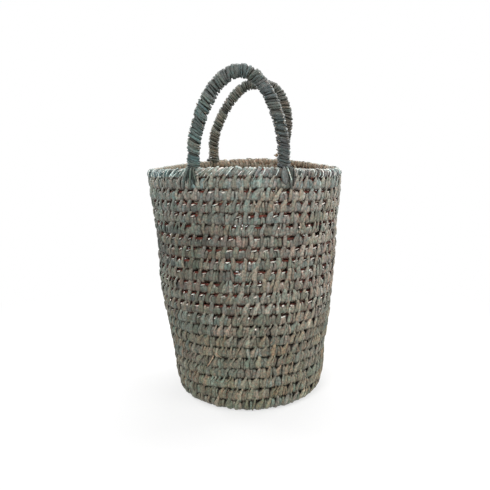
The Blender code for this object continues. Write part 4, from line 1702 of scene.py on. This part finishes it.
@dataclass
class Studio:
    """A pale floor, soft light and the camera of the photograph.

    Each lamp has a name, a place, a size and its watts.
    """

    camera_distance: float = 0.992
    camera_height: float = 0.403
    camera_turn: float = math.radians(3.5)
    camera_pitch: float = math.radians(10.0)
    camera_roll: float = math.radians(-0.45)
    lens: float = 46.65
    sensor: float = 36.0
    nearest: float = 0.01
    lamp_aim: Triple = (0, 0, 0.2)
    lamps: tuple[tuple[str, Triple, float, float], ...] = (
        ("key", (-0.35, -1.5, 1.6), 0.7, 23.0),
        ("fill", (1.5, -0.8, 1.2), 1.1, 10.5),
        ("top", (0.1, 0.6, 1.7), 0.9, 15.0),
        ("left_edge", (-1.3, 0.75, 0.9), 0.7, 12.0),
        ("right_edge", (1.3, 0.75, 0.9), 0.7, 12.0),
    )
    floor_size: float = 4.0
    floor_sides: int = 96
    floor_tone: float = 0.86
    floor_glow: float = 0.62
    fade_from: float = 0.22
    fade_to: float = 0.75
    sky: float = 0.34

    def build(self) -> None:
        """Set up the camera, the floor, the lamps and the world."""
        self._camera()
        self._floor()
        for name, place, size, watts in self.lamps:
            self._lamp(name, place, size, watts)
        self._world()
        bpy.context.scene.view_settings.view_transform = "Standard"

    def _camera(self) -> None:
        """Stand the camera where the photograph was taken from."""
        lens = bpy.data.cameras.new("camera")
        lens.lens = self.lens
        lens.sensor_width = self.sensor
        lens.clip_start = self.nearest
        camera = place_object("camera", lens)
        camera.location = (
            math.sin(self.camera_turn) * self.camera_distance,
            -math.cos(self.camera_turn) * self.camera_distance,
            self.camera_height,
        )
        aim = Euler((math.pi / 2 - self.camera_pitch, 0, self.camera_turn)).to_matrix()
        roll = Matrix.Rotation(self.camera_roll, 3, "Z")
        camera.rotation_euler = (aim @ roll).to_euler()
        bpy.context.scene.camera = camera

    def _lamp(self, name: str, place: Triple, size: float, watts: float) -> None:
        """Hang a square soft lamp that faces the basket."""
        light = bpy.data.lights.new(name, "AREA")
        light.energy = watts
        light.size = size
        lamp = place_object(name, light)
        lamp.location = place
        aim = Vector(self.lamp_aim) - Vector(place)
        lamp.rotation_euler = aim.to_track_quat("-Z", "Y").to_euler()

    def _seen(self, tree: Tree) -> Socket:
        """A factor that is 1 where a camera, mirror or clear-glass ray looks."""
        path = tree.nodes.new("ShaderNodeLightPath")
        seen = path.outputs["Is Camera Ray"]
        for ray in ("Is Glossy Ray", "Is Transmission Ray"):
            rays = {0: seen, 1: path.outputs[ray]}
            seen = add_node(tree, "Math", "Value", rays, operation="MAXIMUM")
        return seen

    def _floor(self) -> None:
        """Lay a round pale floor that glows a little to the eye and keeps the shadow."""
        work = bmesh.new()
        bmesh.ops.create_circle(
            work, cap_ends=True, segments=self.floor_sides, radius=self.floor_size
        )
        floor = place_object("floor", finished_mesh(work, "floor"))
        material = bpy.data.materials.new("pale_floor")
        material.use_nodes = True
        tree = material.node_tree
        tree.nodes.clear()
        place = add_node(tree, "TexCoord", "Object", {})
        away = add_node(tree, "VectorMath", "Value", {0: place}, operation="LENGTH")
        span = {"From Min": self.fade_from, "From Max": self.fade_to, "To Min": self.floor_glow}
        fade = add_node(
            tree, "MapRange", "Result", {"Value": away, **span}, interpolation_type="SMOOTHSTEP"
        )
        part = add_node(tree, "Math", "Value", {0: self._seen(tree), 1: fade}, operation="MULTIPLY")
        matt = add_node(tree, "BsdfDiffuse", "BSDF", {"Color": (*[self.floor_tone] * 3, 1)})
        glow = add_node(tree, "Emission", "Emission", {"Color": WHITE})
        blend = add_node(tree, "MixShader", "Shader", {"Fac": part, 1: matt, 2: glow})
        add_node(tree, "OutputMaterial", None, {"Surface": blend})
        floor.data.materials.append(material)

    def _world(self) -> None:
        """Light the room evenly, with a white background to the eye."""
        world = bpy.data.worlds.new("room")
        bpy.context.scene.world = world
        world.use_nodes = True
        tree = world.node_tree
        tree.nodes.clear()
        room, white = (
            add_node(tree, "Background", "Background", {"Color": WHITE, "Strength": strength})
            for strength in (self.sky, 1.0)
        )
        blend = add_node(tree, "MixShader", "Shader", {"Fac": self._seen(tree), 1: room, 2: white})
        add_node(tree, "OutputWorld", None, {"Surface": blend})


def main() -> None:
    """Build the basket piece by piece."""
    coil = Coil()
    dye = Dye()
    wall, rim = coil.wall_turn, coil.rim_turn
    Studio().build()
    StartKnot(coil, dye).build()
    Rows(coil, dye, "base", 0.5, wall, 11, ("base_coil",)).build()
    Rows(coil, dye, "wall", wall, rim, 12, ("wall_coil",), bands=3, edged=True).build()
    Rows(coil, dye, "rim", rim, rim + 0.84, 13, ("rim_coil",), binds=False).build()
    RimEdge(coil, dye).build()
    LooseFibres(coil).build()
    front_rope = Rope(Side.FRONT, lean=0.0035, right_power=2.0, bow=0.0, phase=2.0)
    back_rope = Rope(Side.BACK, lean=0.0090, right_power=4.5, bow=0.0098, phase=4.4)
    for rope, body, seed, rope_dye, swell in (
        (front_rope, Body.FRONT_HANDLE, 51, FRONT_ROPE_DYE, 0.0013),
        (back_rope, Body.BACK_HANDLE, 52, BACK_ROPE_DYE, 0.0003),
    ):
        Handle(body.value, rope, body, seed, rope_dye, swell).build()
        for end in End:
            Lashing(coil, dye, rope, rope_dye, end, seed + 10 * end.value).build()
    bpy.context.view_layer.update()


if __name__ == "__main__":
    logging.basicConfig(level=logging.INFO, format="%(message)s")
    main()
